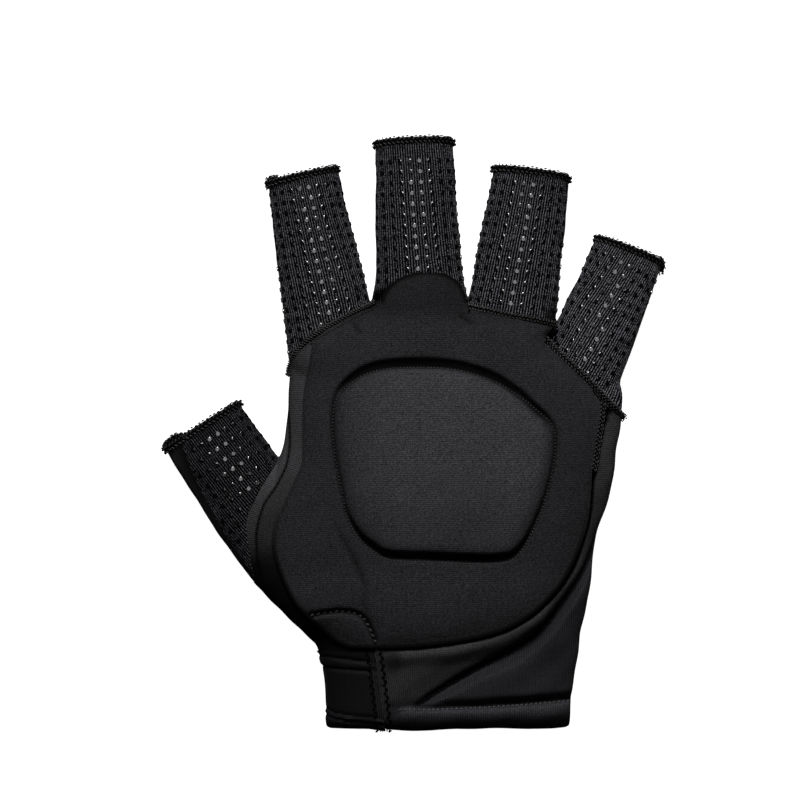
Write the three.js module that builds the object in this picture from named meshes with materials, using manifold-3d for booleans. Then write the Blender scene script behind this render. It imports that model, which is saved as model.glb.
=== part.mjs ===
// A left-hand field hockey glove with half fingers, lying on its back with the palm up.
// Millimetres. +X runs across the palm from the thumb to the little finger, +Y to the fingertips,
// +Z up out of the palm. The glove rests on z = 0, and its open tubes take the wrist and five fingers.
import * as THREE from "three";
import { mergeVertices } from "three/addons/utils/BufferGeometryUtils.js";
import Module from "manifold-3d";

const wasm = await Module();
wasm.setup();

// Driving sizes
const clothWall = 1.8; // knit and neoprene walls
const padThickness = 2.6; // the foam palm pad
const cushionRise = 1.7; // how far the pad's quilted middle stands above the rest of it
const gap = 0.3; // left between pieces that are sewn face to face
const sideSeamHeight = 8; // the palm side meets the back of the hand at this height
const sink = 1.5; // each round section would reach this far under the floor, and is flat there instead
const hemRadius = 1.45; // the overlocked roll round each finger mouth
const seamRadius = 1.2; // the overlocked ridges at the foot of each finger
const bindingHeight = 0.7; // how far the folded edges of the wrist strap stand out
const quiltGrooveRadius = 1.7; // the sewn channel round the middle of the pad
const dartGrooveRadius = 0.9; // the sewn dart at the heel of the thumb
const overrun = 8; // how far a hollow is cut past an open end
const high = 60; // a level above everything
const low = -20; // a level below everything

const finishes = {
  padFoam: new THREE.MeshStandardMaterial({ color: 0x17171a, roughness: 0.88, metalness: 0 }),
  ribKnit: new THREE.MeshStandardMaterial({ color: 0x1e1e22, roughness: 0.9, metalness: 0 }),
  smoothKnit: new THREE.MeshStandardMaterial({ color: 0x141418, roughness: 0.75, metalness: 0 }),
  overlock: new THREE.MeshStandardMaterial({ color: 0x100e0e, roughness: 0.8, metalness: 0 }),
};

// Each tube of the glove runs from its base along a line that leans so many degrees from +Y to +X.
// A row is one section: its distance along the tube, its two edges across it, and its top.
const tubes = {
  palm: {
    base: { x: 0, y: 0 },
    lean: 0,
    squareness: 2.8,
    sides: 32,
    openAt: "start",
    rows: [
      { along: -94.8, left: -27.6, right: 50.0, top: 17.0 },
      { along: -72, left: -29.8, right: 52.4, top: 18.0 },
      { along: -65, left: -32.5, right: 53.6, top: 19.0 },
      { along: -58, left: -39.5, right: 54.8, top: 20.5 },
      { along: -48, left: -47.0, right: 56.4, top: 22.0 },
      { along: -34, left: -50.0, right: 58.6, top: 23.0 },
      { along: -20, left: -47.0, right: 62.4, top: 23.5 },
      { along: -8, left: -42.6, right: 64.6, top: 23.2 },
      { along: 5, left: -40.2, right: 66.2, top: 22.2 },
      { along: 17, left: -39.4, right: 65.4, top: 20.0 },
      { along: 25, left: -38.6, right: 58.5, top: 18.0 },
      { along: 31, left: -36.0, right: 50.0, top: 15.5 },
    ],
  },
  thumb: {
    base: { x: -26.1, y: -59.6 },
    lean: -33.5,
    squareness: 2.4,
    sides: 20,
    openAt: "end",
    rows: [
      { along: -10, left: -7.0, right: 11.0, top: 12.0 },
      { along: 2, left: -10.0, right: 16.0, top: 19.5 },
      { along: 15, left: -12.4, right: 17.0, top: 20.5 },
      { along: 32, left: -14.7, right: 16.5, top: 19.0 },
      { along: 45, left: -15.2, right: 14.8, top: 17.5 },
      { along: 60, left: -14.8, right: 13.9, top: 16.0 },
      { along: 74.4, left: -14.3, right: 13.5, top: 15.0 },
    ],
  },
  index: {
    base: { x: -24.6, y: 21.8 },
    lean: -9.8,
    squareness: 2.4,
    sides: 20,
    openAt: "end",
    rows: [
      { along: -14, left: -11.0, right: 11.0, top: 13.0 },
      { along: 0, left: -14.0, right: 14.0, top: 18.5 },
      { along: 14, left: -13.9, right: 13.9, top: 16.5 },
      { along: 30, left: -13.3, right: 13.3, top: 15.0 },
      { along: 46, left: -12.2, right: 11.8, top: 14.2 },
      { along: 61.5, left: -11.5, right: 11.0, top: 13.8 },
    ],
  },
  middle: {
    base: { x: 2.9, y: 20 },
    lean: -2.1,
    squareness: 2.4,
    sides: 20,
    openAt: "end",
    rows: [
      { along: -14, left: -12.0, right: 12.0, top: 13.0 },
      { along: 0, left: -15.6, right: 15.6, top: 19.0 },
      { along: 20, left: -15.4, right: 15.4, top: 16.8 },
      { along: 29, left: -14.0, right: 14.2, top: 15.6 },
      { along: 45, left: -13.0, right: 13.2, top: 14.8 },
      { along: 60, left: -12.4, right: 12.6, top: 14.3 },
      { along: 73, left: -12.2, right: 12.4, top: 14.0 },
    ],
  },
  ring: {
    base: { x: 28.6, y: 17 },
    lean: 7.7,
    squareness: 2.4,
    sides: 20,
    openAt: "end",
    rows: [
      { along: -14, left: -11.0, right: 11.0, top: 13.0 },
      { along: 0, left: -14.6, right: 14.6, top: 18.5 },
      { along: 20, left: -14.2, right: 14.2, top: 16.5 },
      { along: 33, left: -13.6, right: 13.6, top: 15.3 },
      { along: 50, left: -12.6, right: 13.1, top: 14.5 },
      { along: 66.8, left: -11.8, right: 12.4, top: 14.0 },
    ],
  },
  little: {
    base: { x: 48.6, y: 6.5 },
    lean: 21.3,
    squareness: 2.4,
    sides: 20,
    openAt: "end",
    rows: [
      { along: -14, left: -9.0, right: 10.0, top: 13.0 },
      { along: 0, left: -11.5, right: 12.5, top: 18.5 },
      { along: 20, left: -12.4, right: 12.6, top: 17.0 },
      { along: 33, left: -12.3, right: 12.4, top: 15.0 },
      { along: 44, left: -11.3, right: 11.8, top: 14.0 },
      { along: 56, left: -10.8, right: 11.4, top: 13.5 },
    ],
  },
};
const fingers = ["thumb", "index", "middle", "ring", "little"];

// Sewn lines, seen from above: each is the smooth curve through its few points.
const lines = {
  indexFoot: [{ x: -40.5, y: 19.4 }, { x: -36, y: 26.1 }, { x: -27.4, y: 32.2 }, { x: -13.2, y: 39.7 }],
  ringFoot: [{ x: 17.5, y: 39.3 }, { x: 33, y: 35.8 }, { x: 46, y: 33.6 }],
  littleFoot: [{ x: 43, y: 28 }, { x: 55.1, y: 15.3 }, { x: 61, y: 9.6 }, { x: 67.6, y: 3.2 }],
  thumbFoot: [{ x: -43.2, y: -9 }, { x: -49.9, y: -20.4 }, { x: -53, y: -30.3 }, { x: -50, y: -48 }],
  thumbGuard: [{ x: -74.5, y: -1 }, { x: -68.7, y: -16 }, { x: -60.4, y: -31.4 }, { x: -50, y: -46.5 }],
  bandFoot: [
    { x: 0.9, y: -86.4 }, { x: 16.7, y: -77.1 }, { x: 37.5, y: -65.5 }, { x: 52.5, y: -46.3 },
    { x: 59.2, y: -30.5 },
  ],
  padThumbSide: [
    { x: -32.4, y: 25.6 }, { x: -34.8, y: 10.4 }, { x: -35.1, y: -7.9 }, { x: -42.6, y: -25.3 },
    { x: -43.8, y: -32.9 }, { x: -40.7, y: -46.5 }, { x: -34.5, y: -55.7 }, { x: -25.5, y: -65.6 },
    { x: -19.6, y: -68.2 },
  ],
  padHeel: [
    { x: -19.6, y: -68.2 }, { x: 5.2, y: -67.4 }, { x: 30.1, y: -62 }, { x: 46.2, y: -49 },
    { x: 54.9, y: -30.4 }, { x: 57.1, y: -9.2 }, { x: 59.8, y: 8.2 },
  ],
  padLobe: [
    { x: 17.7, y: 37.8 }, { x: 15.8, y: 44.1 }, { x: 10.1, y: 49.4 }, { x: 0.3, y: 49.5 },
    { x: -9, y: 43.6 }, { x: -12, y: 38.4 },
  ],
  sideRidge: [{ x: 63.2, y: 7.6 }, { x: 60.4, y: 0 }, { x: 59.5, y: -8 }, { x: 59.2, y: -15 }],
  dart: [{ x: -32, y: -57.6 }, { x: -22.5, y: -56.4 }, { x: -15.8, y: -58.5 }, { x: -12, y: -66 }],
};
const quiltLoop = [
  { x: -25.1, y: 10.6 }, { x: -19.6, y: 18.6 }, { x: 0, y: 23.6 }, { x: 25, y: 19.3 }, { x: 44.2, y: 3 },
  { x: 42.3, y: -18 }, { x: 34.5, y: -36 }, { x: 5.2, y: -39.5 }, { x: -17.1, y: -32.2 },
];

// Between two fingers runs a cut from the crotch out past the fingertips.
const beyond = 110;
const betweenFingers = {
  indexMiddle: [{ x: -13.2, y: 39.7 }, { x: -15, y: 60 }, { x: -15, y: beyond }],
  middleRing: [{ x: 17.5, y: 39.3 }, { x: 17.8, y: 60 }, { x: 20, y: beyond }],
  ringLittle: [{ x: 46, y: 33.6 }, { x: 49.5, y: 46 }, { x: 54, y: 70 }, { x: 54, y: beyond }],
};

// The wrist: the strap is sewn to the palm side by a flatlock seam and goes round behind.
const strapTop = -69.6;
const strapEdges = { underTopBinding: -74.6, overBottomBinding: -87.2 };
const strapEndBehind = 38;
const wristEnd = -102;
const flatlock = { top: { x: -12.2, y: strapTop }, bottom: { x: -9, y: -94.8 } };
const hemTop = { left: { x: -9.9, y: -87 }, right: { x: 50, y: -84.4 } };
const webUnderPad = -12; // the thumb web meets the side band here, under the pad
const farLeft = -80;
const farRight = 80;

const reversed = (points) => [...points].reverse();
const vector = ({ x, y }) => new THREE.Vector2(x, y);
const smooth = (points) =>
  new THREE.SplineCurve(points.map(vector)).getPoints(3 * (points.length - 1));

// The point of the floor plan that lies so far along a tube and so far across it.
function onTube(tube, along, across) {
  const lean = THREE.MathUtils.degToRad(tube.lean);
  return {
    x: tube.base.x + Math.sin(lean) * along + Math.cos(lean) * across,
    y: tube.base.y + Math.cos(lean) * along - Math.sin(lean) * across,
  };
}

// One section of a tube: a squared oval, grown outwards all round and flat where it meets the floor.
function section(tube, row, grow, floor) {
  const centre = (row.left + row.right) / 2;
  const halfWidth = (row.right - row.left) / 2 + grow;
  const halfHeight = (row.top + sink) / 2 + grow;
  const squared = (value) => Math.sign(value) * Math.abs(value) ** (2 / tube.squareness);
  return Array.from({ length: tube.sides }, (_, i) => {
    const angle = (2 * Math.PI * (i + 0.5)) / tube.sides;
    const { x, y } = onTube(tube, row.along, centre + halfWidth * squared(Math.cos(angle)));
    const z = (row.top - sink) / 2 + halfHeight * squared(Math.sin(angle));
    return new THREE.Vector3(x, y, Math.max(floor, z));
  });
}

// A closed solid through rings of points, with a flat end on the first and the last ring.
function loft(rings) {
  const sides = rings[0].length;
  const last = (rings.length - 1) * sides;
  const faces = [];
  for (let start = 0; start < last; start += sides)
    for (let i = 0; i < sides; i += 1) {
      const [a, b] = [start + i, start + ((i + 1) % sides)];
      faces.push(a, a + sides, b, b, a + sides, b + sides);
    }
  for (let i = 1; i + 1 < sides; i += 1) faces.push(0, i, i + 1, last, last + i + 1, last + i);
  return new THREE.BufferGeometry().setFromPoints(rings.flat()).setIndex(faces);
}

function solidFrom(geometry) {
  const bare = geometry.clone();
  bare.deleteAttribute("normal");
  bare.deleteAttribute("uv");
  const merged = mergeVertices(bare, 1e-4);
  const vertProperties = merged.attributes.position.array;
  const triVerts = new Uint32Array(merged.index.array);
  return new wasm.Manifold(new wasm.Mesh({ numProp: 3, vertProperties, triVerts }));
}

function geometryFrom(solid) {
  const mesh = solid.getMesh();
  return new THREE.BufferGeometry()
    .setAttribute("position", new THREE.BufferAttribute(mesh.vertProperties, 3))
    .setIndex(new THREE.BufferAttribute(mesh.triVerts, 1));
}

// The largest body that a cut leaves, without the crumbs beside it.
const largest = (solid) => solid.decompose().sort((a, b) => b.volume() - a.volume())[0];

function tubeSolid(tube, grow, floor, overrunBy) {
  const rows = tube.rows.map((row) => ({ ...row }));
  const opensAtStart = tube.openAt === "start";
  rows[0].along -= opensAtStart ? overrunBy : grow;
  rows.at(-1).along += opensAtStart ? grow : overrunBy;
  return solidFrom(loft(rows.map((row) => section(tube, row, grow, floor))));
}

// The whole glove as one solid, grown outwards by an amount, or inwards where it is negative.
function gloveSolid(grow, floor = 0, overrunBy = 0) {
  return Object.values(tubes)
    .map((tube) => tubeSolid(tube, grow, floor, overrunBy))
    .reduce((whole, tube) => whole.add(tube));
}

// An outline moved outwards by a distance, anticlockwise.
function outset(outline, distance) {
  const points = outline.map(vector);
  if (THREE.ShapeUtils.area(points) < 0) points.reverse();
  return points.map((point, i) => {
    const before = point.clone().sub(points.at(i - 1)).normalize();
    const after = points[(i + 1) % points.length].clone().sub(point).normalize();
    const mitre = before.clone().add(after).normalize();
    const reach = distance / Math.max(0.5, mitre.dot(before));
    return new THREE.Vector2(point.x + mitre.y * reach, point.y - mitre.x * reach);
  });
}

// An upright block over an outline, grown sideways.
function block(outline, { from = low, to = high, grow = 0 } = {}) {
  const shape = new THREE.Shape(outset(outline, grow));
  const geometry = new THREE.ExtrudeGeometry(shape, { depth: to - from, bevelEnabled: false });
  return solidFrom(geometry.translate(0, 0, from));
}

// A function that gives the height of a solid's top over a point of the floor plan.
function heightOver(solid) {
  const material = new THREE.MeshBasicMaterial({ side: THREE.DoubleSide });
  const mesh = new THREE.Mesh(geometryFrom(solid), material);
  const ray = new THREE.Raycaster();
  return ({ x, y }) => {
    ray.set(new THREE.Vector3(x, y, high), new THREE.Vector3(0, 0, -1));
    const [hit] = ray.intersectObject(mesh);
    return hit ? Math.max(hit.point.z, sideSeamHeight) : sideSeamHeight;
  };
}

// A cord of thread, or the groove of a sewn line, laid on a surface.
function layOn(line, height, radius, { steps, sides }) {
  const lifted = smooth(line).map((point) => new THREE.Vector3(point.x, point.y, height(point)));
  const rim = new THREE.EllipseCurve(0, 0, radius, radius).getPoints(sides).slice(1);
  const extrudePath = new THREE.CatmullRomCurve3(lifted);
  return solidFrom(new THREE.ExtrudeGeometry(new THREE.Shape(rim), { steps, extrudePath }));
}

// The roll of thread round a finger's mouth, bent to the section of the sleeve.
function hemRing(tube) {
  const middleOfWall = section(tube, tube.rows.at(-1), -clothWall / 2, hemRadius + gap / 2);
  const path = new THREE.CatmullRomCurve3(middleOfWall, true);
  return solidFrom(new THREE.TubeGeometry(path, 24, hemRadius, 5, true));
}

const thumbSideFar = [{ x: -60, y: -58 }, { x: -100, y: -30 }, { x: -100, y: 10 }];
const fingerRegions = {
  thumb: [{ x: -46, y: 5 }, ...smooth(lines.thumbFoot), ...thumbSideFar, { x: -50, y: 25 }],
  index: [
    { x: -60, y: 12 }, ...smooth(lines.indexFoot), ...betweenFingers.indexMiddle.slice(1),
    { x: -60, y: beyond },
  ],
  middle: [...reversed(betweenFingers.indexMiddle), ...betweenFingers.middleRing],
  ring: [
    ...smooth(lines.ringFoot), ...betweenFingers.ringLittle.slice(1),
    ...reversed(betweenFingers.middleRing.slice(1)),
  ],
  little: [
    ...reversed(betweenFingers.ringLittle), ...smooth(lines.littleFoot), { x: 76, y: -4 },
    { x: 100, y: beyond },
  ],
};
const guardOutline = [...smooth(lines.thumbGuard), ...thumbSideFar];
const padOutline = [
  ...smooth(lines.padThumbSide), ...smooth(lines.padHeel).slice(1), { x: 42, y: 26.2 },
  { x: 41.2, y: 30.6 }, { x: 42.4, y: 32.6 }, { x: 27.5, y: 35.5 }, ...smooth(lines.padLobe),
  { x: -27, y: 30.6 },
];
const underPad = [
  { x: -28.5, y: 45 }, { x: -30, y: -7 }, { x: -38.5, y: -31 }, { x: -37, y: -43 }, { x: -21, y: -62.5 },
  { x: 5, y: -62.4 }, { x: 28, y: -57.3 }, { x: 42, y: -45.8 }, { x: 50, y: -28.5 }, { x: 55, y: 7 },
  { x: 60, y: 20 }, { x: 60, y: 45 },
];
const webOutline = [
  { x: farLeft, y: 35 }, { x: -20, y: 45 }, { x: webUnderPad, y: 0 }, { x: webUnderPad, y: strapTop },
  { x: farLeft, y: strapTop },
];
const bandOutline = [
  { x: webUnderPad, y: 0 }, { x: webUnderPad, y: strapTop }, flatlock.top, hemTop.left,
  ...smooth(lines.bandFoot), { x: farRight, y: -30.5 }, { x: farRight, y: 30 }, { x: 20, y: 45 },
];
const strapFront = [
  { x: farLeft, y: strapTop }, flatlock.top, flatlock.bottom, { x: -8, y: wristEnd },
  { x: farLeft, y: wristEnd },
];
const strapBehind = [
  { x: farLeft, y: strapTop }, { x: strapEndBehind, y: strapTop }, { x: strapEndBehind, y: wristEnd },
  { x: farLeft, y: wristEnd },
];
const hemFront = [
  flatlock.bottom, hemTop.left, hemTop.right, { x: farRight, y: hemTop.right.y },
  { x: farRight, y: wristEnd }, { x: -8, y: wristEnd },
];
const hemBehind = [
  { x: strapEndBehind, y: hemTop.right.y }, { x: farRight, y: hemTop.right.y },
  { x: farRight, y: wristEnd }, { x: strapEndBehind, y: wristEnd },
];

// A cut on the palm side over one outline and behind the hand over another, with a gap round it.
const bothSides = (front, behind) => (grow) =>
  block(front, { from: sideSeamHeight - gap - grow, grow })
    .add(block(behind, { to: sideSeamHeight + grow, grow }));
const palmSide = (outline) => (grow) => block(outline, { from: sideSeamHeight - grow, grow });
const allRound = (outline) => (grow) => block(outline, { grow });

// The bare glove is one hollow wall, open at the wrist and at the ends of the fingers.
const hollow = gloveSolid(-clothWall, clothWall, overrun);
let wall = gloveSolid(0).subtract(hollow);

// Takes a piece out of the wall, and leaves the gap round it.
function take(cut) {
  const piece = largest(wall.intersect(cut(0)));
  wall = wall.subtract(cut(gap));
  return piece;
}

// A sleeve without its last millimetres, where the hem lies.
function withoutMouth(sleeve, tube) {
  const end = tube.rows.at(-1).along - hemRadius - gap;
  const side = 30;
  const corners = [[end, -side], [end, side], [end + side, side], [end + side, -side]];
  return sleeve.subtract(block(corners.map(([along, across]) => onTube(tube, along, across))));
}

const pieces = {};
for (const name of fingers)
  pieces[`${name}_sleeve`] = withoutMouth(take(allRound(fingerRegions[name])), tubes[name]);

// The outer edge and the back of the thumb are a smooth guard, and its palm side is ribbed knit.
const guardCut = (grow) =>
  block(guardOutline, { grow }).add(block(fingerRegions.thumb, { to: sideSeamHeight + grow, grow }));
pieces.thumb_guard = largest(pieces.thumb_sleeve.intersect(guardCut(0)));
pieces.thumb_sleeve = largest(pieces.thumb_sleeve.subtract(guardCut(gap)));

// Under the pad the palm side is open, and the pieces round it only reach in below its edge.
wall = wall.subtract(palmSide(underPad)(0));
pieces.thumb_web = take(palmSide(webOutline));
pieces.side_band = take(palmSide(bandOutline));
const strapCut = bothSides(strapFront, strapBehind);
const strap = take(strapCut);
pieces.cuff_hem = take(bothSides(hemFront, hemBehind));
pieces.hand_back = largest(wall);

// The strap's folded edges are thicker than its middle.
const acrossWrist = (from, to) =>
  block([{ x: farLeft, y: from }, { x: farRight, y: from }, { x: farRight, y: to }, { x: farLeft, y: to }]);
const { underTopBinding, overBottomBinding } = strapEdges;
const folded = gloveSolid(bindingHeight)
  .subtract(hollow)
  .intersect(strapCut(0))
  .subtract(palmSide(bandOutline)(gap));
pieces.wrist_strap = largest(strap.intersect(acrossWrist(underTopBinding - gap, overBottomBinding)));
pieces.strap_top_binding = largest(folded.intersect(acrossWrist(strapTop - gap, underTopBinding)));
pieces.strap_bottom_binding = largest(folded.intersect(acrossWrist(overBottomBinding - gap, wristEnd)));

// The palm pad lies on the wall's outside, with a raised cushion, a quilted channel round the
// cushion, and a dart.
const padSkin = gloveSolid(gap + padThickness);
const overPad = heightOver(padSkin);
const quiltCurve = new THREE.CatmullRomCurve3(quiltLoop.map(({ x, y }) => new THREE.Vector3(x, y, 0)), true);
const quiltPlan = quiltCurve.getPoints(36).slice(1);
const quiltOnPad = quiltPlan.map((point) => new THREE.Vector3(point.x, point.y, overPad(point)));
const quiltPath = new THREE.CatmullRomCurve3(quiltOnPad, true);
const quiltGroove = solidFrom(new THREE.TubeGeometry(quiltPath, 40, quiltGrooveRadius, 6, true));
const dartGroove = layOn(lines.dart, overPad, dartGrooveRadius, { steps: 10, sides: 5 });
const lowerCushion = gloveSolid(gap + padThickness + cushionRise / 2).intersect(block(quiltPlan));
const upperCushion = gloveSolid(gap + padThickness + cushionRise)
  .intersect(block(quiltPlan, { grow: -3 * quiltGrooveRadius }));
pieces.palm_pad = largest(
  padSkin
    .intersect(block(padOutline, { from: sideSeamHeight + gap }))
    .add(lowerCushion)
    .add(upperCushion)
    .subtract(gloveSolid(gap))
    .subtract(quiltGroove)
    .subtract(dartGroove),
);

// Ridges of overlocked thread stand where the sleeves and the side band meet the pad.
const overWall = heightOver(gloveSolid(seamRadius + 2.5 * gap));
const moved = (line, across, up) => line.map(({ x, y }) => ({ x: x + across, y: y + up }));
const ridge = (line, steps) => layOn(line, overWall, seamRadius, { steps, sides: 6 });
pieces.index_seam = ridge(moved(lines.indexFoot, -1, 2.2), 14);
pieces.ring_seam = ridge(moved(lines.ringFoot, 1.2, 2.6), 10);
pieces.little_seam = ridge(moved(lines.littleFoot, 1.6, 1.6), 14);
pieces.side_seam = ridge(lines.sideRidge, 10);
for (const name of fingers) pieces[`${name}_hem`] = hemRing(tubes[name]);

function finishOf(name) {
  if (name === "palm_pad") return finishes.padFoam;
  if (name === "cuff_hem") return finishes.smoothKnit;
  if (/_(hem|seam)$/.test(name)) return finishes.overlock;
  if (/_sleeve$|side_band|thumb_web/.test(name)) return finishes.ribKnit;
  return finishes.smoothKnit;
}

const glove = new THREE.Group();
for (const [name, solid] of Object.entries(pieces)) {
  const mesh = new THREE.Mesh(geometryFrom(solid), finishOf(name).clone());
  mesh.name = name;
  glove.add(mesh);
}

export default glove;
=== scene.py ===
# A left-hand field hockey glove with half fingers, lying on its back, palm up.
# The tables are in millimetres, as in the part's source, and every mesh is made in metres.
import math
from functools import partial

import bpy
import numpy as np
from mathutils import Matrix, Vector
from mathutils.bvhtree import BVHTree


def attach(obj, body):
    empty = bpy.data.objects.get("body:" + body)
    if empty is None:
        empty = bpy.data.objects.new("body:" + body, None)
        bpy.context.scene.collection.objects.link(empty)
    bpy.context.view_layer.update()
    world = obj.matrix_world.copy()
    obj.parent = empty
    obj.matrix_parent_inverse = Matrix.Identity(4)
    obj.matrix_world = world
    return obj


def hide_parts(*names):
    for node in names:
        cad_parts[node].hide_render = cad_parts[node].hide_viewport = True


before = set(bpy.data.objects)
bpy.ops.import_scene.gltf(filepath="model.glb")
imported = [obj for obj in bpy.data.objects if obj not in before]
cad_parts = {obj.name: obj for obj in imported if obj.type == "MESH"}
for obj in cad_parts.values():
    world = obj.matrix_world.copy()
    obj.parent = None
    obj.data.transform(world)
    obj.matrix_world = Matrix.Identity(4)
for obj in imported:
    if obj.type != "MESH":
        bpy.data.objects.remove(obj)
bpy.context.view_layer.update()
mm = 0.001
chance = np.random.default_rng(11)

# The glove's own form: tubes, sewn lines and outlines, the same as in the part's source
gloveTubes = {  # rows: distance along, left edge, right edge, top
    "palm": {"base": (0, 0), "lean": 0, "square": 2.8, "rows": [
        (-94.8, -27.6, 50, 17), (-72, -29.8, 52.4, 18), (-65, -32.5, 53.6, 19), (-58, -39.5, 54.8, 20.5),
        (-48, -47, 56.4, 22), (-34, -50, 58.6, 23), (-20, -47, 62.4, 23.5), (-8, -42.6, 64.6, 23.2),
        (5, -40.2, 66.2, 22.2), (17, -39.4, 65.4, 20), (25, -38.6, 58.5, 18), (31, -36, 50, 15.5)]},
    "thumb": {"base": (-26.1, -59.6), "lean": -33.5, "square": 2.4, "rows": [
        (-10, -7, 11, 12), (2, -10, 16, 19.5), (15, -12.4, 17, 20.5), (32, -14.7, 16.5, 19),
        (45, -15.2, 14.8, 17.5), (60, -14.8, 13.9, 16), (74.4, -14.3, 13.5, 15)]},
    "index": {"base": (-24.6, 21.8), "lean": -9.8, "square": 2.4, "rows": [
        (-14, -11, 11, 13), (0, -14, 14, 18.5), (14, -13.9, 13.9, 16.5), (30, -13.3, 13.3, 15),
        (46, -12.2, 11.8, 14.2), (61.5, -11.5, 11, 13.8)]},
    "middle": {"base": (2.9, 20), "lean": -2.1, "square": 2.4, "rows": [
        (-14, -12, 12, 13), (0, -15.6, 15.6, 19), (20, -15.4, 15.4, 16.8), (29, -14, 14.2, 15.6),
        (45, -13, 13.2, 14.8), (60, -12.4, 12.6, 14.3), (73, -12.2, 12.4, 14)]},
    "ring": {"base": (28.6, 17), "lean": 7.7, "square": 2.4, "rows": [
        (-14, -11, 11, 13), (0, -14.6, 14.6, 18.5), (20, -14.2, 14.2, 16.5), (33, -13.6, 13.6, 15.3),
        (50, -12.6, 13.1, 14.5), (66.8, -11.8, 12.4, 14)]},
    "little": {"base": (48.6, 6.5), "lean": 21.3, "square": 2.4, "rows": [
        (-14, -9, 10, 13), (0, -11.5, 12.5, 18.5), (20, -12.4, 12.6, 17), (33, -12.3, 12.4, 15),
        (44, -11.3, 11.8, 14), (56, -10.8, 11.4, 13.5)]},
}
fingerNames = ["thumb", "index", "middle", "ring", "little"]
gloveBody = {
    "wall": 1.8,  # knit and neoprene
    "sink": 1.5,  # how far each section would reach under the floor
    "sideSeam": 8.0,  # height where the palm side meets the back
    "voxel": 0.65,
    "innerVoxel": 1.5,
    "overrun": 8.0,
    "gap": 0.03,  # between sewn pieces
}
sewn = {
    "indexFoot": [(-40.5, 19.4), (-36, 26.1), (-27.4, 32.2), (-13.2, 39.7)],
    "ringFoot": [(17.5, 39.3), (33, 35.8), (46, 33.6)],
    "littleFoot": [(43, 28), (55.1, 15.3), (61, 9.6), (67.6, 3.2)],
    "thumbFoot": [(-43.2, -9), (-49.9, -20.4), (-53, -30.3), (-50, -48)],
    "thumbGuard": [(-74.5, -1), (-68.7, -16), (-60.4, -31.4), (-50, -46.5)],
    "bandFoot": [(0.9, -86.4), (16.7, -77.1), (37.5, -65.5), (52.5, -46.3), (59.2, -30.5)],
    "padThumbSide": [(-32.4, 25.6), (-35, 10.6), (-35.2, -8.2), (-37.3, -13.8), (-40.6, -21.5),
                     (-43.4, -28), (-44.4, -33), (-44, -38.5), (-41.6, -46), (-37.4, -54.4),
                     (-32.3, -59.4), (-25.5, -65.6), (-19.6, -68.2)],
    "padHeel": [(-19.6, -68.2), (5.2, -67.4), (30.1, -62), (46.2, -49), (54.9, -30.4), (57.1, -9.2),
                (59.8, 8.2)],
    "padLobe": [(17.7, 37.8), (17.1, 42), (15.9, 46), (13.2, 49.2), (9, 51), (4, 51.4), (-0.5, 50.7),
                (-4.6, 49.2), (-8, 46.6), (-9.8, 43.6), (-10.4, 41.2), (-12.6, 40.2)],
    "dart": [(-32, -57.6), (-22.5, -56.4), (-15.8, -58.5), (-12, -66)],
    "webStitch": [(-39.7, 6.7), (-39.2, 0), (-39.4, -5.4), (-40.4, -11), (-44.4, -18.1), (-47.1, -22),
                  (-48.8, -26.9), (-49.8, -31.8), (-49.8, -35.7), (-49.3, -41.1), (-48.2, -45.6)],
    "padCrease": [(-25.6, -26.9), (-16, -45.8), (-15.4, -55.7), (-11.5, -69.4)],
    "quilt": [(-25.1, 10.6), (-23.4, 14.8), (-19.6, 18.6), (-14.6, 21.5), (-7.3, 23.1), (5.2, 23.4),
              (15.2, 22.4), (25, 19.3), (32.5, 14.8), (38.7, 9.3), (43, 5.1), (44.9, 0.6), (44.5, -7.9),
              (42.3, -18), (39.3, -26.5), (35.6, -34.1), (31.3, -38.8), (26.2, -40.1), (17.6, -40.1),
              (5.2, -39.5), (-7.3, -38.9), (-12.1, -36.5), (-17.1, -32.2), (-20.9, -25.3),
              (-22.7, -16.7), (-24.8, -5.5), (-25.6, 3.2)],
}
strapTop = -69.6
flatlockTop, flatlockFoot = (-12.2, strapTop), (-9, -94.8)
hemTop = [(-9.9, -87), (50, -84.4)]
strapEndBehind = 38
wristEnd = -102


def hermite(at, x, y):  # a smooth curve through a table's rows, level beyond its ends
    at = np.clip(at, x[0], x[-1])
    slope = np.gradient(y, x)
    i = np.clip(np.searchsorted(x, at) - 1, 0, len(x) - 2)
    h = x[i + 1] - x[i]
    t = (at - x[i]) / h
    return ((1 + 2 * t) * (1 - t) ** 2 * y[i] + t * (1 - t) ** 2 * h * slope[i]
            + t * t * (3 - 2 * t) * y[i + 1] + t * t * (t - 1) * h * slope[i + 1])


def onTube(tube, along, across):
    lean = math.radians(tube["lean"])
    return (tube["base"][0] + math.sin(lean) * along + math.cos(lean) * across,
            tube["base"][1] + math.cos(lean) * along - math.sin(lean) * across)


def tubePoint(tube, along, angle, grow=0.0, floor=0.0):
    rows = np.array(tube["rows"], float)
    left, right, top = (hermite(along, rows[:, 0], rows[:, k]) for k in (1, 2, 3))
    sink = gloveBody["sink"]
    power = 2 / tube["square"]
    c, s = np.cos(angle), np.sin(angle)
    across = (left + right) / 2 + ((right - left) / 2 + grow) * np.sign(c) * np.abs(c) ** power
    z = (top - sink) / 2 + ((top + sink) / 2 + grow) * np.sign(s) * np.abs(s) ** power
    x, y = onTube(tube, along, across)
    return np.stack(np.broadcast_arrays(x, y, np.maximum(z, floor)), -1)


def runAlong(line):  # how far along a line each of its points lies
    return np.r_[0, np.cumsum(np.linalg.norm(np.diff(line, axis=0), axis=1))]


def sampled(line, run, at):
    return np.stack([np.interp(at, run, column) for column in line.T], -1)


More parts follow.
